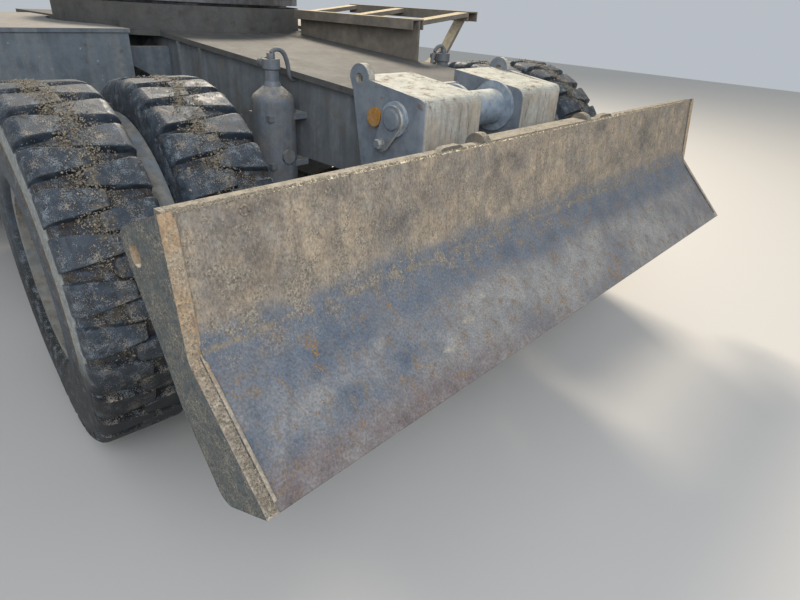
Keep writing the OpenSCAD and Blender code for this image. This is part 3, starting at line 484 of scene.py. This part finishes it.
class Surface:
    """Quads and triangles gathered for one mesh."""

    def __init__(self) -> None:
        """Starts with no points."""
        self.points: list[Array] = []
        self.faces: list[Array] = []
        self.values: dict[str, list[Array]] = {}
        self.count = 0

    def take(self, points: Array, faces: Array, **values: Array) -> None:
        """Takes in points with their faces and attribute values."""
        self.points.append(points)
        self.faces.append(faces + self.count)
        for key, value in values.items():
            self.values.setdefault(key, []).append(np.asarray(value).ravel())
        self.count += len(points)

    def grid(self, points: Array, wrap_u: bool = False, wrap_v: bool = False, flip: bool = False,
             **values: Array) -> None:
        """Takes in a grid of points, shaped (u, v, 3), as quads.

        Args:
            points: The grid.
            wrap_u: Whether the last row joins the first.
            wrap_v: Whether the last column joins the first.
            flip: Whether the faces turn the other way.
            values: Attribute values by name, one for each point.
        """
        rows, columns = points.shape[:2]
        index = np.arange(rows * columns).reshape(rows, columns)
        i = np.arange(rows if wrap_u else rows - 1)[:, None]
        j = np.arange(columns if wrap_v else columns - 1)[None, :]
        i2, j2 = (i + 1) % rows, (j + 1) % columns
        quads = np.stack([index[i, j], index[i2, j], index[i2, j2], index[i, j2]], -1).reshape(-1, 4)
        self.take(points.reshape(-1, 3), quads[:, ::-1] if flip else quads, **values)

    def fan(self, ring: Array, flip: bool = False, **values: Array) -> None:
        """Closes a ring of points, shaped (n, 3), with triangles round its middle."""
        count = len(ring)
        near = np.arange(count)
        middle = np.full(count, count)
        tris = np.stack([near, (near + 1) % count, middle, middle], -1)
        filled = {k: np.append(v, np.mean(v)) for k, v in values.items()}
        self.take(np.vstack([ring, ring.mean(0)]), tris[:, [1, 0, 2, 3]] if flip else tris, **filled)

    def turned(self, profile: tuple, foot: Array, axis: Array, sides: int) -> None:
        """Takes in a solid of revolution: a profile of (radius, height) turned about an axis.

        A point is foot + height * axis + radius * (cos a * u + sin a * v), with u and v square to the axis.

        Args:
            profile: Its pairs, from the foot up.
            foot: Where the axis starts.
            axis: The axis, of length 1.
            sides: How many sides; 6 makes a nut.
        """
        u = unit(np.cross(axis, UP if abs(axis[2]) < 0.9 else (1.0, 0.0, 0.0)))
        v = np.cross(axis, u)
        a = round_turn(sides)[:, None, None]
        radius, height = np.array(profile).T[:, :, None]
        points = foot + height * axis + radius * (np.cos(a) * u + np.sin(a) * v)
        self.grid(points, wrap_u=True)
        self.fan(points[:, -1])
        self.fan(points[:, 0], flip=True)

    def tube(self, path: Array, radius: Array | float, sides: int = 10) -> None:
        """Takes in a round rod along a path, closed at its ends.

        At each point a circle stands square to the path's run.

        Args:
            path: Its points, shaped (n, 3).
            radius: Its radius, or one for each point.
            sides: Points round it.
        """
        run = unit(np.gradient(path, axis=0))
        u = unit(np.cross(run, np.where(np.abs(run[:, 2:]) < 0.9, [UP], [[1.0, 0.0, 0.0]])))
        v = np.cross(run, u)
        a = round_turn(sides)[None, :, None]
        r = np.broadcast_to(radius, len(path))[:, None, None]
        points = path[:, None] + r * (np.cos(a) * u[:, None] + np.sin(a) * v[:, None])
        self.grid(points, wrap_v=True, flip=True)
        self.fan(points[0], flip=True)
        self.fan(points[-1])

    def piece(self, name: str, body: str, slot: str, finish: str = "", replaces: tuple[str, ...] = (),
              sharp: float = 40.0) -> None:
        """Makes the mesh object and joins it to its body.

        Args:
            name: The piece's name.
            body: The body that it rides on.
            slot: The record's material slot.
            finish: The key of its finish, where that isn't the slot.
            replaces: Nodes that it stands for.
            sharp: Angle past which an edge stays sharp, in degrees.
        """
        mesh = bpy.data.meshes.new(name)
        faces = [tuple(f[:3]) if f[2] == f[3] else tuple(f) for f in np.vstack(self.faces).tolist()]
        mesh.from_pydata(np.vstack(self.points), [], faces)
        for key, value in self.values.items():
            attribute = mesh.attributes.new(key, "FLOAT", "POINT")
            attribute.data.foreach_set("value", np.concatenate(value).astype(np.float32))
        mesh.polygons.foreach_set("use_smooth", np.ones(len(mesh.polygons), bool))
        mesh.set_sharp_from_angle(angle=math.radians(sharp))
        mesh.update()
        made = linked(name, mesh)
        mesh.materials.append(material(finish or slot))
        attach(made, body)
        if replaces:
            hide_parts(*replaces)
        LOG.info("%s: %d faces on %s", name, len(mesh.polygons), body)


@dataclass
class Stage:
    """Camera, floor and lights."""

    eye: Point = (-1.588, -2.719, 1.303)
    yaw: float = 0.837
    pitch: float = 0.494
    roll: float = 0.058
    focal_px: float = 551.8
    picture_px: float = 800.0
    sensor_mm: float = 36.0
    floor_reach: float = 14.0

    def camera(self) -> None:
        """Stands the camera where the photograph's was."""
        ahead = np.array([math.sin(self.yaw) * math.cos(self.pitch), math.cos(self.yaw) * math.cos(self.pitch),
                          -math.sin(self.pitch)])
        level = np.array([math.cos(self.yaw), -math.sin(self.yaw), 0.0])
        above = np.cross(level, ahead)
        right = math.cos(self.roll) * level + math.sin(self.roll) * above
        top = math.cos(self.roll) * above - math.sin(self.roll) * level
        lens = bpy.data.cameras.new("camera")
        lens.lens = self.focal_px / self.picture_px * self.sensor_mm
        lens.sensor_width = self.sensor_mm
        lens.clip_start = 0.05
        made = linked("camera", lens)
        turn = Matrix(np.column_stack([right, top, -ahead]).tolist()).to_4x4()
        made.matrix_world = Matrix.Translation(self.eye) @ turn
        bpy.context.scene.camera = made

    def lamp(self, name: str, at: Point, aim: Point, size: float,
             power: float, colour: str) -> None:
        """Adds a square soft lamp that faces a point, with its side in metres and its power in watts."""
        light = bpy.data.lights.new(name, "AREA")
        light.size, light.energy, light.color = size, power, linear(colour)[:3]
        made = linked(name, light)
        made.location = at
        made.rotation_euler = (Vector(aim) - Vector(at)).to_track_quat("-Z", "Y").to_euler()

    def floor(self) -> None:
        """Lays the plain pale floor."""
        corners = [(x * self.floor_reach, y * self.floor_reach, CAD_BOX[0][2]) for x, y in
                   ((-1, -1), (1, -1), (1, 1), (-1, 1))]
        mesh = bpy.data.meshes.new("floor")
        mesh.from_pydata(corners, [], [(0, 1, 2, 3)])
        made = linked("floor", mesh)
        cloth = Painter("studio_floor")
        cloth.feed(cloth.shader.inputs["Base Color"], linear("c9c6c0"))
        cloth.feed(cloth.shader.inputs["Roughness"], 0.85)
        mesh.materials.append(cloth.skin)

    def build(self) -> None:
        """Makes the camera, the floor, the lamps and the world."""
        self.camera()
        self.floor()
        self.lamp("key", (3.2, 3.6, 6.0), (-0.4, -1.2, 0.6), 2.2, 860.0, "fff1dc")
        self.lamp("fill", (-2.9, -5.3, 3.6), (0.3, -1.1, 0.6), 4.0, 190.0, "f0f4ff")
        world = bpy.data.worlds.new("studio")
        world.use_nodes = True
        bpy.context.scene.world = world
        shade = world.node_tree.nodes["Background"]
        shade.inputs["Color"].default_value = linear("dfe6ee")
        shade.inputs["Strength"].default_value = 0.65
        bpy.context.scene.view_settings.view_transform = "Standard"


class Gravel:
    """Grains of sand and gravel that lie on the part or stick to it."""

    CORNERS = np.array([[1, 0, 0], [-1, 0, 0], [0, 1, 0], [0, -1, 0], [0, 0, 1], [0, 0, -1]], float)
    FACES = np.array([[0, 2, 4, 4], [2, 1, 4, 4], [1, 3, 4, 4], [3, 0, 4, 4],
                      [2, 0, 5, 5], [1, 2, 5, 5], [3, 1, 5, 5], [0, 3, 5, 5]])

    def __init__(self, seed: int) -> None:
        """Starts with its own seed, so that each run strews alike."""
        self.random = np.random.default_rng(seed)
        self.skin = Surface()

    def strew(self, at: Array, size: Array) -> None:
        """Lays a grain of each size at each point: eight faces, pushed out of true and turned at random."""
        count = len(at)
        shape = self.CORNERS[None] * self.random.uniform(0.6, 1.25, (count, 6, 1)) * size[:, None, None]
        shape = shape * self.random.uniform(0.6, 1.3, (count, 1, 3))
        turn = self.random.normal(size=(count, 3, 3))
        turn, _ = np.linalg.qr(turn)
        turn = turn * np.sign(np.linalg.det(turn))[:, None, None]
        points = at[:, None] + np.einsum("nij,nkj->nki", turn, shape)
        faces = self.FACES[None] + 6 * np.arange(count)[:, None, None]
        self.skin.take(points.reshape(-1, 3), faces.reshape(-1, 4))


@dataclass
class Blade:
    """The dozer blade's board, with its dents, and the sand along its edges."""

    columns: int = 320
    rows: int = 72
    thick: float = 0.018
    bend_round: float = 0.070
    top: tuple[float, float] = (-1.876, 0.983)
    bend: tuple[float, float] = (-1.908, 0.723)
    tip: tuple[float, float] = (-2.130, 0.5045)
    seam_up: float = 0.059
    wear_plate: float = 0.006
    top_grains: int = 2600
    lip_grains: int = 1400
    blow: float = 1.5
    ends: tuple[float, float] = field(default_factory=lambda: tuple(corner[0] for corner in box("mouldboard")))

    def corners(self) -> tuple[Array, Array, Array]:
        """The section's top edge, bend and tip, as (y, z)."""
        return np.array(self.top), np.array(self.bend), np.array(self.tip)

    def profile(self, count: int) -> tuple[Array, Array]:
        """The board's front from its top edge over the bend to the cutting edge.

        Two straight runs that meet in a parabola of a short run on each side.

        Args:
            count: How many points.
        Returns:
            Points as (y, z), and the distance of each from the top edge.
        """
        top, bend, tip = self.corners()
        first, second = np.linalg.norm(bend - top), np.linalg.norm(tip - bend)
        s = np.linspace(0.0, first + second, count)
        past, r = s - first, self.bend_round
        share = np.where(past > r, past, np.where(past < -r, 0.0, (past + r) ** 2 / (4 * r)))
        return bend + np.outer(past - share, (bend - top) / first) + np.outer(share, (tip - bend) / second), s

    def dents(self, x: Array, s: Array) -> Array:
        """How far the front stands out, in metres, from blows, folds and the plate's own waves.

        Each dent is a bell of its own width across and down; a fold is a bell along a slanted line.
        """
        table = [
            # x, down, width across, width down, depth in mm (drawn blow times as deep)
            (-0.467, 0.383, 0.035, 0.020, -6.0),
            (-0.561, 0.419, 0.050, 0.024, -7.0),
            (-0.667, 0.462, 0.045, 0.020, -6.0),
            (-0.447, 0.468, 0.040, 0.020, -4.5),
            (-0.100, 0.440, 0.050, 0.026, -4.0),
            (0.120, 0.360, 0.030, 0.022, -3.5),
            (0.350, 0.420, 0.060, 0.030, -4.5),
            (0.640, 0.380, 0.026, 0.040, -5.0),
            (0.900, 0.300, 0.030, 0.040, -4.0),
            (-0.866, 0.221, 0.130, 0.060, 3.0),
            (-0.980, 0.350, 0.090, 0.070, 3.5),
            (0.050, 0.180, 0.200, 0.060, 2.5),
            (0.700, 0.150, 0.160, 0.080, -3.0),
        ]
        out = 0.0016 * np.sin(3.1 * x + 0.5) * np.sin(9.0 * s) + 0.0010 * np.sin(11.0 * x + 4.0 * s)
        for at, down, wide, tall, deep in table:
            out = out + self.blow * deep * MM * np.exp(-((x - at) / wide) ** 2 - ((s - down) / tall) ** 2)
        line = x + 1.065 + 0.55 * (s - 0.313)
        start = np.clip((s - 0.29) / 0.05, 0, 1)
        return out + start * (0.008 * np.exp(-(line / 0.012) ** 2) - 0.007 * np.exp(-((line + 0.05) / 0.045) ** 2))

    def build(self) -> None:
        """Makes the board as one closed skin, thicker behind its foot where the wear plate is."""
        outline, s = self.profile(self.rows)
        x = np.linspace(*self.ends, self.columns)
        across, down = np.meshgrid(x, s, indexing="ij")
        run = np.gradient(outline, axis=0)
        normal = unit(np.stack([run[:, 1], -run[:, 0]], -1))
        fade = np.clip(np.minimum(across - x[0], x[-1] - across) / 0.05, 0, 1)
        fade = fade * np.clip((s[-1] - down) / 0.05, 0, 1) * np.clip(down / 0.03, 0, 1)
        bulge = self.dents(across, down) * fade
        front = np.empty(across.shape + (3,))
        front[..., 0] = across
        front[..., 1:] = outline + normal * bulge[..., None]
        deep = self.thick + self.wear_plate * np.clip((s - s[-1] + self.seam_up) / 0.002, 0, 1)
        deep = deep * np.clip((s[-1] - s) / 0.020 + 0.15, 0, 1)
        back = front.copy()
        back[..., 1:] -= normal * deep[:, None]
        # Where the board gets a painted skylight tint: a patch by the near end below the bend, and a wider, fainter
        # one.
        blue = np.maximum(np.exp(-((across + 1.155) / 0.10) ** 2 - ((down - 0.44) / 0.10) ** 2),
                          0.8 * np.exp(-((across + 0.95) / 0.40) ** 2 - ((down - 0.42) / 0.14) ** 2))
        foot = np.clip((down - 0.46) / 0.10, 0, 1) * (0.15 + 0.85 * np.clip((0.1 - across) / 0.9, 0, 1))
        values = {"down": down, "blue": blue, "foot": foot}
        skin = Surface()
        skin.grid(np.concatenate([front, back[:, ::-1]], axis=1), wrap_v=True,
                  **{k: np.concatenate([v, v[:, ::-1]], axis=1) for k, v in values.items()})
        for end, flip in ((0, False), (-1, True)):
            skin.grid(np.stack([front[end], back[end]], 0), flip=flip,
                      **{k: np.stack([v[end], v[end]], 0) for k, v in values.items()})
        skin.piece("board", "blade", "blade_steel", replaces=("mouldboard", "cutting_edge"), sharp=50.0)

    def grit(self) -> None:
        """Strews sand along the board's top edge and down the near end plate's front lip."""
        gravel = Gravel(5)
        random = gravel.random
        count = self.top_grains
        x = random.uniform(*self.ends, count)
        x = np.where(random.random(count) < 0.35, self.ends[0] + np.abs(random.normal(0, 0.12, count)), x)
        y = self.top[0] + random.uniform(0.0, self.thick, count)
        size = random.uniform(0.0012, 0.0032, count)
        gravel.strew(np.column_stack([x, y, self.top[1] + 0.3 * size]), size)
        count = self.lip_grains
        share = random.random(count)[:, None]
        top, bend, tip = self.corners()
        lip = np.where(share < 0.5, top + (bend - top) * 2 * share, bend + (tip - bend) * (2 * share - 1))
        low, _ = box("blade_ends")
        x = random.uniform(low[0] + 0.001, low[0] + 0.025, count)
        size = random.uniform(0.0012, 0.0030, count)
        gravel.strew(np.column_stack([x, np.maximum(lip[:, 0] - 0.0045, self.tip[0] + 1.6 * size), lip[:, 1]]), size)
        gravel.skin.piece("blade_grit", "blade", "blade_steel", "loose_grit", sharp=30.0)


@dataclass
class WheelSet:
    """Where a twin wheel set stands, and its ways outward and ahead."""

    axle: str
    side: str

    def __post_init__(self) -> None:
        """Finds the ending of the set's names, its body and its ways."""
        turn = STEERED if self.axle == "front" else 0.0
        self.name = f"_{self.axle}_{self.side}"
        self.body = "wheels" + self.name
        self.hand = SIDES[self.side]
        self.outward = np.array([math.cos(turn), math.sin(turn), 0.0]) * self.hand
        self.ahead = np.array([math.sin(turn), -math.cos(turn), 0.0])
        self.centre = self.middle("tyres")

    def middle(self, kind: str) -> Array:
        """The middle of one of its nodes, such as its tyres."""
        low, high = box(kind + self.name)
        return (low + high) / 2

    def place(self, across: Array, r: Array, a: Array) -> Array:
        """Points from the distance across, the radius and the angle past the top, backwards."""
        spin = np.array(UP) * np.cos(a)[..., None] - self.ahead * np.sin(a)[..., None]
        return self.centre + self.outward * across[..., None] + spin * r[..., None]


@dataclass
class Tyre:
    """One twin pair of tyres with two rows of block lugs each."""

    lugs: int = 30
    radius: float = 0.535
    depth: float = 0.026
    pitch: float = 0.322
    half: float = 0.139
    bead: float = 0.2541
    around: int = 96
    lug_share: float = 0.71
    crown: float = 0.5
    mud: float = 0.008
    clods: int = 7200
    grains: int = 12500
    far_share: float = 0.5

    def floor(self, across: Array | float) -> Array | float:
        """The radius of the casing under the lugs: a shallow arc across."""
        return self.radius - self.depth - self.crown * across ** 2

    def wall(self) -> Array:
        """The section of the casing as (across, radius), one closed loop from bead to bead.

        Between bead and shoulder the side swells as a power of a sine, with moulded rings near the bead.
        """
        t = np.linspace(0.0, 1.0, 26)
        low, high = self.bead + 0.022, self.floor(0.0) - 0.012
        bulge = 0.100 + 0.039 * np.sin(np.pi * t ** 0.9) ** 0.35
        bulge[-5:] = [0.1375, 0.136, 0.133, 0.128, 0.120]
        ring = 0.0025 * (np.abs((t * 16) % 2 - 1) < 0.35) * (t < 0.4)
        level = low + (high - low) * t
        widest = self.half - 0.0005 - 0.1 * np.maximum(level - 0.39, 0.0)
        side = np.column_stack([np.minimum(bulge + ring * (t > 0.04), widest), level])
        c = np.linspace(0.112, -0.112, 13)
        crown = np.column_stack([c, self.floor(c)])
        foot = np.array([[0.098, self.bead]])
        return np.vstack([foot, side, crown, side[::-1] * [-1, 1], foot * [-1, 1]])

    def lug(self) -> Array:
        """One lug as rings of (across, along, height), from its foot to its top.

        The outline is the lug's six-cornered plan with rounded corners; it draws in towards the top, and
        its outer end leans in with the shoulder.
        """
        long = self.radius * math.pi / self.lugs * self.lug_share
        corners = np.array([[-0.014, -0.62 * long], [0.092, -long], [0.128, -long], [0.128, long], [0.092, long],
                            [-0.014, 0.5 * long]])
        cut = np.array([0.007, 0.014, 0.006, 0.006, 0.014, 0.007])[:, None]
        edges = [np.roll(corners, step, 0) - corners for step in (1, -1)]
        a, b = (corners + unit(edge) * cut for edge in edges)
        t = np.linspace(0, 1, 4)[None, :, None]
        outline = (1 - t) ** 2 * a[:, None] + 2 * t * (1 - t) * corners[:, None] + t ** 2 * b[:, None]
        outline = outline.reshape(-1, 2)
        middle = outline.mean(0)
        rings = []
        for grow, height, lean in ((1.08, -0.014, 0.0), (1.05, 0.004, 0.003), (1.02, self.depth - 0.010, 0.010),
                                   (1.00, self.depth - 0.004, 0.017), (0.97, self.depth - 0.001, 0.025),
                                   (0.92, self.depth, 0.030)):
            flat = middle + (outline - middle) * grow
            outer = np.clip((flat[:, 0] - 0.085) / 0.048, 0, 1)
            flat[:, 0] = np.minimum(flat[:, 0] - lean * outer, 0.1275)
            rings.append(np.column_stack([flat, np.full(len(flat), height)]))
        return np.stack(rings, 0)

    @staticmethod
    def heap(across: Array) -> Array:
        """How thick the sand lies: a bell over the middle of the tread."""
        return np.exp(-((across - 0.02) / 0.075) ** 2)

    def build(self, wheels: WheelSet) -> None:
        """Makes the twin tyres of a wheel set: the wall's section turned about the axle, and two rows of lugs."""
        section, rings = self.wall(), self.lug()
        skin = Surface()
        for k in (-1, 1):
            a, j = np.meshgrid(round_turn(self.around), np.arange(len(section)), indexing="ij")
            across, r = section[j, 0], section[j, 1]
            wall = np.where((across > 0.118) & (k > 0), r, 0.0)
            groove = (np.abs(across) < 0.125) & (r > self.floor(0.0) - 0.02)
            filled = r + self.mud * groove * (0.6 + 0.4 * np.sin(9 * a + 30 * across))
            skin.grid(wheels.place(across + k * self.pitch / 2, filled, a), wrap_u=True, wrap_v=True,
                      flip=wheels.hand < 0, wall=wall, heap=self.heap(across), groove=groove)
            for row in (-1, 1):
                x = rings[..., 0] * row
                r = self.floor(np.minimum(np.abs(x), 0.10)) + rings[..., 2]
                r = np.minimum(r + 0.004 * rings[..., 2] / self.depth, self.radius)
                out = wheels.hand * row > 0
                sand, none = self.heap(x), np.zeros(r.shape)
                for step in range(self.lugs):
                    a = -(step + row / 4) * 2 * np.pi / self.lugs + rings[..., 1] / self.radius
                    points = wheels.place(x + k * self.pitch / 2, r, a)
                    skin.grid(points, wrap_v=True, flip=out, wall=none, heap=sand, groove=none)
                    skin.fan(points[-1], flip=not out, wall=none[-1], heap=sand[-1], groove=none[-1])
        skin.piece("treads" + wheels.name, wheels.body, "tyre_rubber", replaces=("tyres" + wheels.name,), sharp=35.0)

    def strew(self, wheels: WheelSet) -> None:
        """Strews clods over the tops of one set's treads, then fine grit over lugs and grooves."""
        gravel = Gravel(11 + len(wheels.axle) + wheels.hand)
        random = gravel.random
        share = 1.0 if wheels.name == "_front_right" else self.far_share
        count = int(self.clods * share)
        for k in (-1, 1):
            a = random.normal(-0.35, 0.42, count)
            across = 0.012 + 0.016 * np.sin(5 * a + k) + random.normal(0, 0.020, count)
            r = self.radius + random.uniform(-0.016, 0.003, count)
            clump = np.sin(a * 23 + across * 90) + random.normal(0, 0.7, count)
            keep = (clump > 0.2 - 0.8 * (k > 0)) & (np.abs(a) < 1.2)
            at = wheels.place(across[keep] + k * self.pitch / 2, r[keep], a[keep])
            gravel.strew(at, random.uniform(0.0012, 0.0034, keep.sum()))
        count = int(self.grains * share)
        for k in (-1, 1):
            inner = random.random(count) < 0.5
            across = np.where(inner, random.normal(0.01, 0.03, count), random.normal(0, 0.07, count))
            a = random.normal(-0.35, 0.75, count)
            clump = np.sin(across * 71 + a * 13 + k) + np.sin(a * 29 - across * 37) + random.normal(0, 0.8, count)
            keep = (np.abs(across) < 0.12) & (clump > 0.1) & (np.abs(a) < 1.9)
            across, a = across[keep], a[keep]
            size = random.uniform(0.0009, 0.0024, len(a)) * np.where(random.random(len(a)) < 0.02, 2.6, 1.0)
            tread = (a / (2 * np.pi) * self.lugs) % 1.0
            away = np.abs((tread + np.sign(across) / 4 + 0.5) % 1.0 - 0.5)
            on_lug = away < self.lug_share / 2 - 0.02
            height = np.where(on_lug, self.depth + 0.0005, random.uniform(0.004, 0.018, len(a)))
            r = np.minimum(self.floor(across) + height, self.radius - 1.6 * size)
            gravel.strew(wheels.place(across + k * self.pitch / 2, r, a), size)
        gravel.skin.piece("tread_grit" + wheels.name, wheels.body, "tyre_rubber", "loose_grit", sharp=30.0)


@dataclass
class Fittings:
    """Wheel nuts, lock plates, weld beads, the board's ring and the pipes of the lock cylinders."""

    stud_reach: float = 0.203
    web: float = 0.024
    pin_y: float = -1.570
    pin_z: float = 1.002
    pin_end: float = 0.389
    lock_x: float = 0.445
    seam_x: float = 1.2160
    seam: tuple[tuple[float, float], ...] = ((-1.878, 0.978), (-1.9075, 0.728), (-2.116, 0.520))
    bead: float = 5.0 * MM
    ripple: float = 0.002
    ring_at: Point = (-1.085, -1.8805, 0.963)
    ring_radius: float = 0.009

    @staticmethod
    def bolt(skin: Surface, foot: Array, axis: Array, wide: float, tall: float) -> None:
        """A washer that stands on its foot, under a six-sided head as wide across corners, chamfered on top."""
        r = wide / 2
        skin.turned(((r * 1.25, 0.0), (r * 1.25, 0.003)), foot, axis, 20)
        skin.turned(((r, 0.002), (r, tall * 0.86), (r * 0.88, tall)), foot, axis, 6)

    def wheel_nuts(self, wheels: WheelSet) -> None:
        """Eight nuts with their studs on the outer face of a wheel set's web."""
        middle = wheels.middle("rims") + wheels.outward * self.web
        skin = Surface()
        for a in round_turn(8):
            foot = middle + self.stud_reach * (wheels.ahead * math.sin(a) + np.array(UP) * math.cos(a))
            self.bolt(skin, foot, wheels.outward, 0.036, 0.024)
            skin.turned(((0.011, 0.0), (0.011, 0.034), (0.008, 0.037)), foot, wheels.outward, 14)
        skin.piece("wheel_nuts" + wheels.name, wheels.body, "rim_paint", "plated_bolt")

    def lock_plates(self) -> None:
        """A strap from each end of the cylinder pin to a bolt on the carrier's cheek.

        The strap's outline is the hull of two circles: a round end about the pin and one about the bolt.
        """
        skin = Surface()
        a = round_turn(48)
        pin, bolt = np.array([self.pin_y, self.pin_z]), np.array([self.pin_y + 0.044, self.pin_z - 0.076])
        aim = math.atan2(bolt[1] - pin[1], bolt[0] - pin[0])
        near = np.cos(a - aim) > 0
        ring = np.column_stack([np.cos(a), np.sin(a)])
        outline = np.where(near[:, None], bolt + 0.026 * ring, pin + 0.040 * ring)
        for hand in SIDES.values():
            low, high = hand * (self.pin_end - 0.002), hand * (self.pin_end + 0.008)
            rims = [np.column_stack([np.full(len(a), x), pin + (outline - pin) * grow]) for x, grow in
                    ((low, 1.0), (high - hand * 0.002, 1.0), (high, 0.97))]
            skin.grid(np.stack(rims, 0), wrap_v=True, flip=hand > 0)
            skin.fan(rims[-1], flip=hand < 0)
            skin.fan(rims[0], flip=hand > 0)
            axis = np.array([hand, 0.0, 0.0])
            self.bolt(skin, np.array([high, *bolt]), axis, 0.030, 0.016)
            skin.turned(((0.030, 0.0), (0.030, 0.004), (0.026, 0.006)), np.array([high, *pin]), axis, 32)
            skin.turned(((0.016, 0.0), (0.016, 0.010)), np.array([hand * 0.377, *bolt]), axis, 20)
        skin.piece("lock_plates", "root", "carrier_paint")

    def welds(self) -> None:
        """Beads between board and end plates, each a rod whose radius ripples every few millimetres."""
        skin = Surface()
        for x in (-self.seam_x, self.seam_x):
            for start, end in zip(self.seam, self.seam[1:]):
                first, last = np.array([x, *start]), np.array([x, *end])
                count = int(np.linalg.norm(last - first) / self.ripple)
                t = np.linspace(0, 1, count)[:, None]
                radius = self.bead * (1 + 0.06 * np.abs(np.sin(np.arange(count) * math.pi / 4)))
                skin.tube(first + (last - first) * t, radius, 8)
        skin.piece("welds_blade", "blade", "blade_steel", "end_steel")

    def ring(self) -> None:
        """A small wire ring welded to the board near its top: a rod round a circle that lies on the plate."""
        a = np.linspace(0, 2 * np.pi, 33)
        circle = np.column_stack([np.cos(a), 0.12 * np.sin(a), np.sin(a)])
        path = np.array(self.ring_at) + self.ring_radius * circle
        skin = Surface()
        skin.tube(path, 0.0022, 8)
        skin.piece("board_ring", "blade", "blade_steel")

    def pipes(self) -> None:
        """A bent steel pipe from each lock cylinder's neck to the chassis side, with a nut at each end.

        The line runs straight from knot to knot; then each point moves six times halfway to its neighbours' mean.
        """
        knots = np.array([(0.0, -1.055, 1.112), (0.0, -1.055, 1.134), (0.012, -1.055, 1.146),
                          (0.034, -1.055, 1.147), (0.054, -1.054, 1.134), (0.066, -1.053, 1.106),
                          (0.072, -1.052, 1.072), (0.082, -1.050, 1.050), (0.112, -1.050, 1.046)])
        t = np.linspace(0, len(knots) - 1, 49)
        near = np.minimum(t.astype(int), len(knots) - 2)
        share = (t - near)[:, None]
        path = knots[near] * (1 - share) + knots[near + 1] * share
        for _ in range(6):
            path[1:-1] = (path[:-2] + 2 * path[1:-1] + path[2:]) / 4
        skin = Surface()
        for hand in SIDES.values():
            line = path * [-hand, 1, 1] + [hand * self.lock_x, 0, 0]
            skin.tube(line, 0.0075, 12)
            nut = ((0.0125, 0.0), (0.0135, 0.002), (0.0135, 0.018), (0.0125, 0.020))
            for end, way in ((line[1], line[2] - line[1]), (line[-4], line[-4] - line[-5])):
                skin.turned(nut, end, unit(way), 6)
        skin.piece("lock_pipes", "root", "axle_paint")

    def build(self, sets: list[WheelSet]) -> None:
        """Makes all the fittings."""
        for wheels in sets:
            self.wheel_nuts(wheels)
        self.lock_plates()
        self.welds()
        self.ring()
        self.pipes()


def dress_frame() -> None:
    """Gives every carried-over solid its finish."""
    for row in frame["record"]["subparts"]:
        name, slot = row["node"], row["material_slot"]
        node = frame["nodes"][name]
        node.data.materials.clear()
        node.data.materials.append(material(DRESSED.get(name, slot)))


def main() -> None:
    """Builds the stage, the dressed frame and each sub-assembly in order."""
    logging.basicConfig(level=logging.INFO, format="%(name)s: %(message)s")
    Stage().build()
    dress_frame()
    blade = Blade()
    blade.build()
    blade.grit()
    sets = [WheelSet(axle, side) for axle in ("front", "rear") for side in SIDES]
    tyre = Tyre()
    for wheels in sets:
        tyre.build(wheels)
        tyre.strew(wheels)
    Fittings().build(sets)


if __name__ == "__main__":
    main()
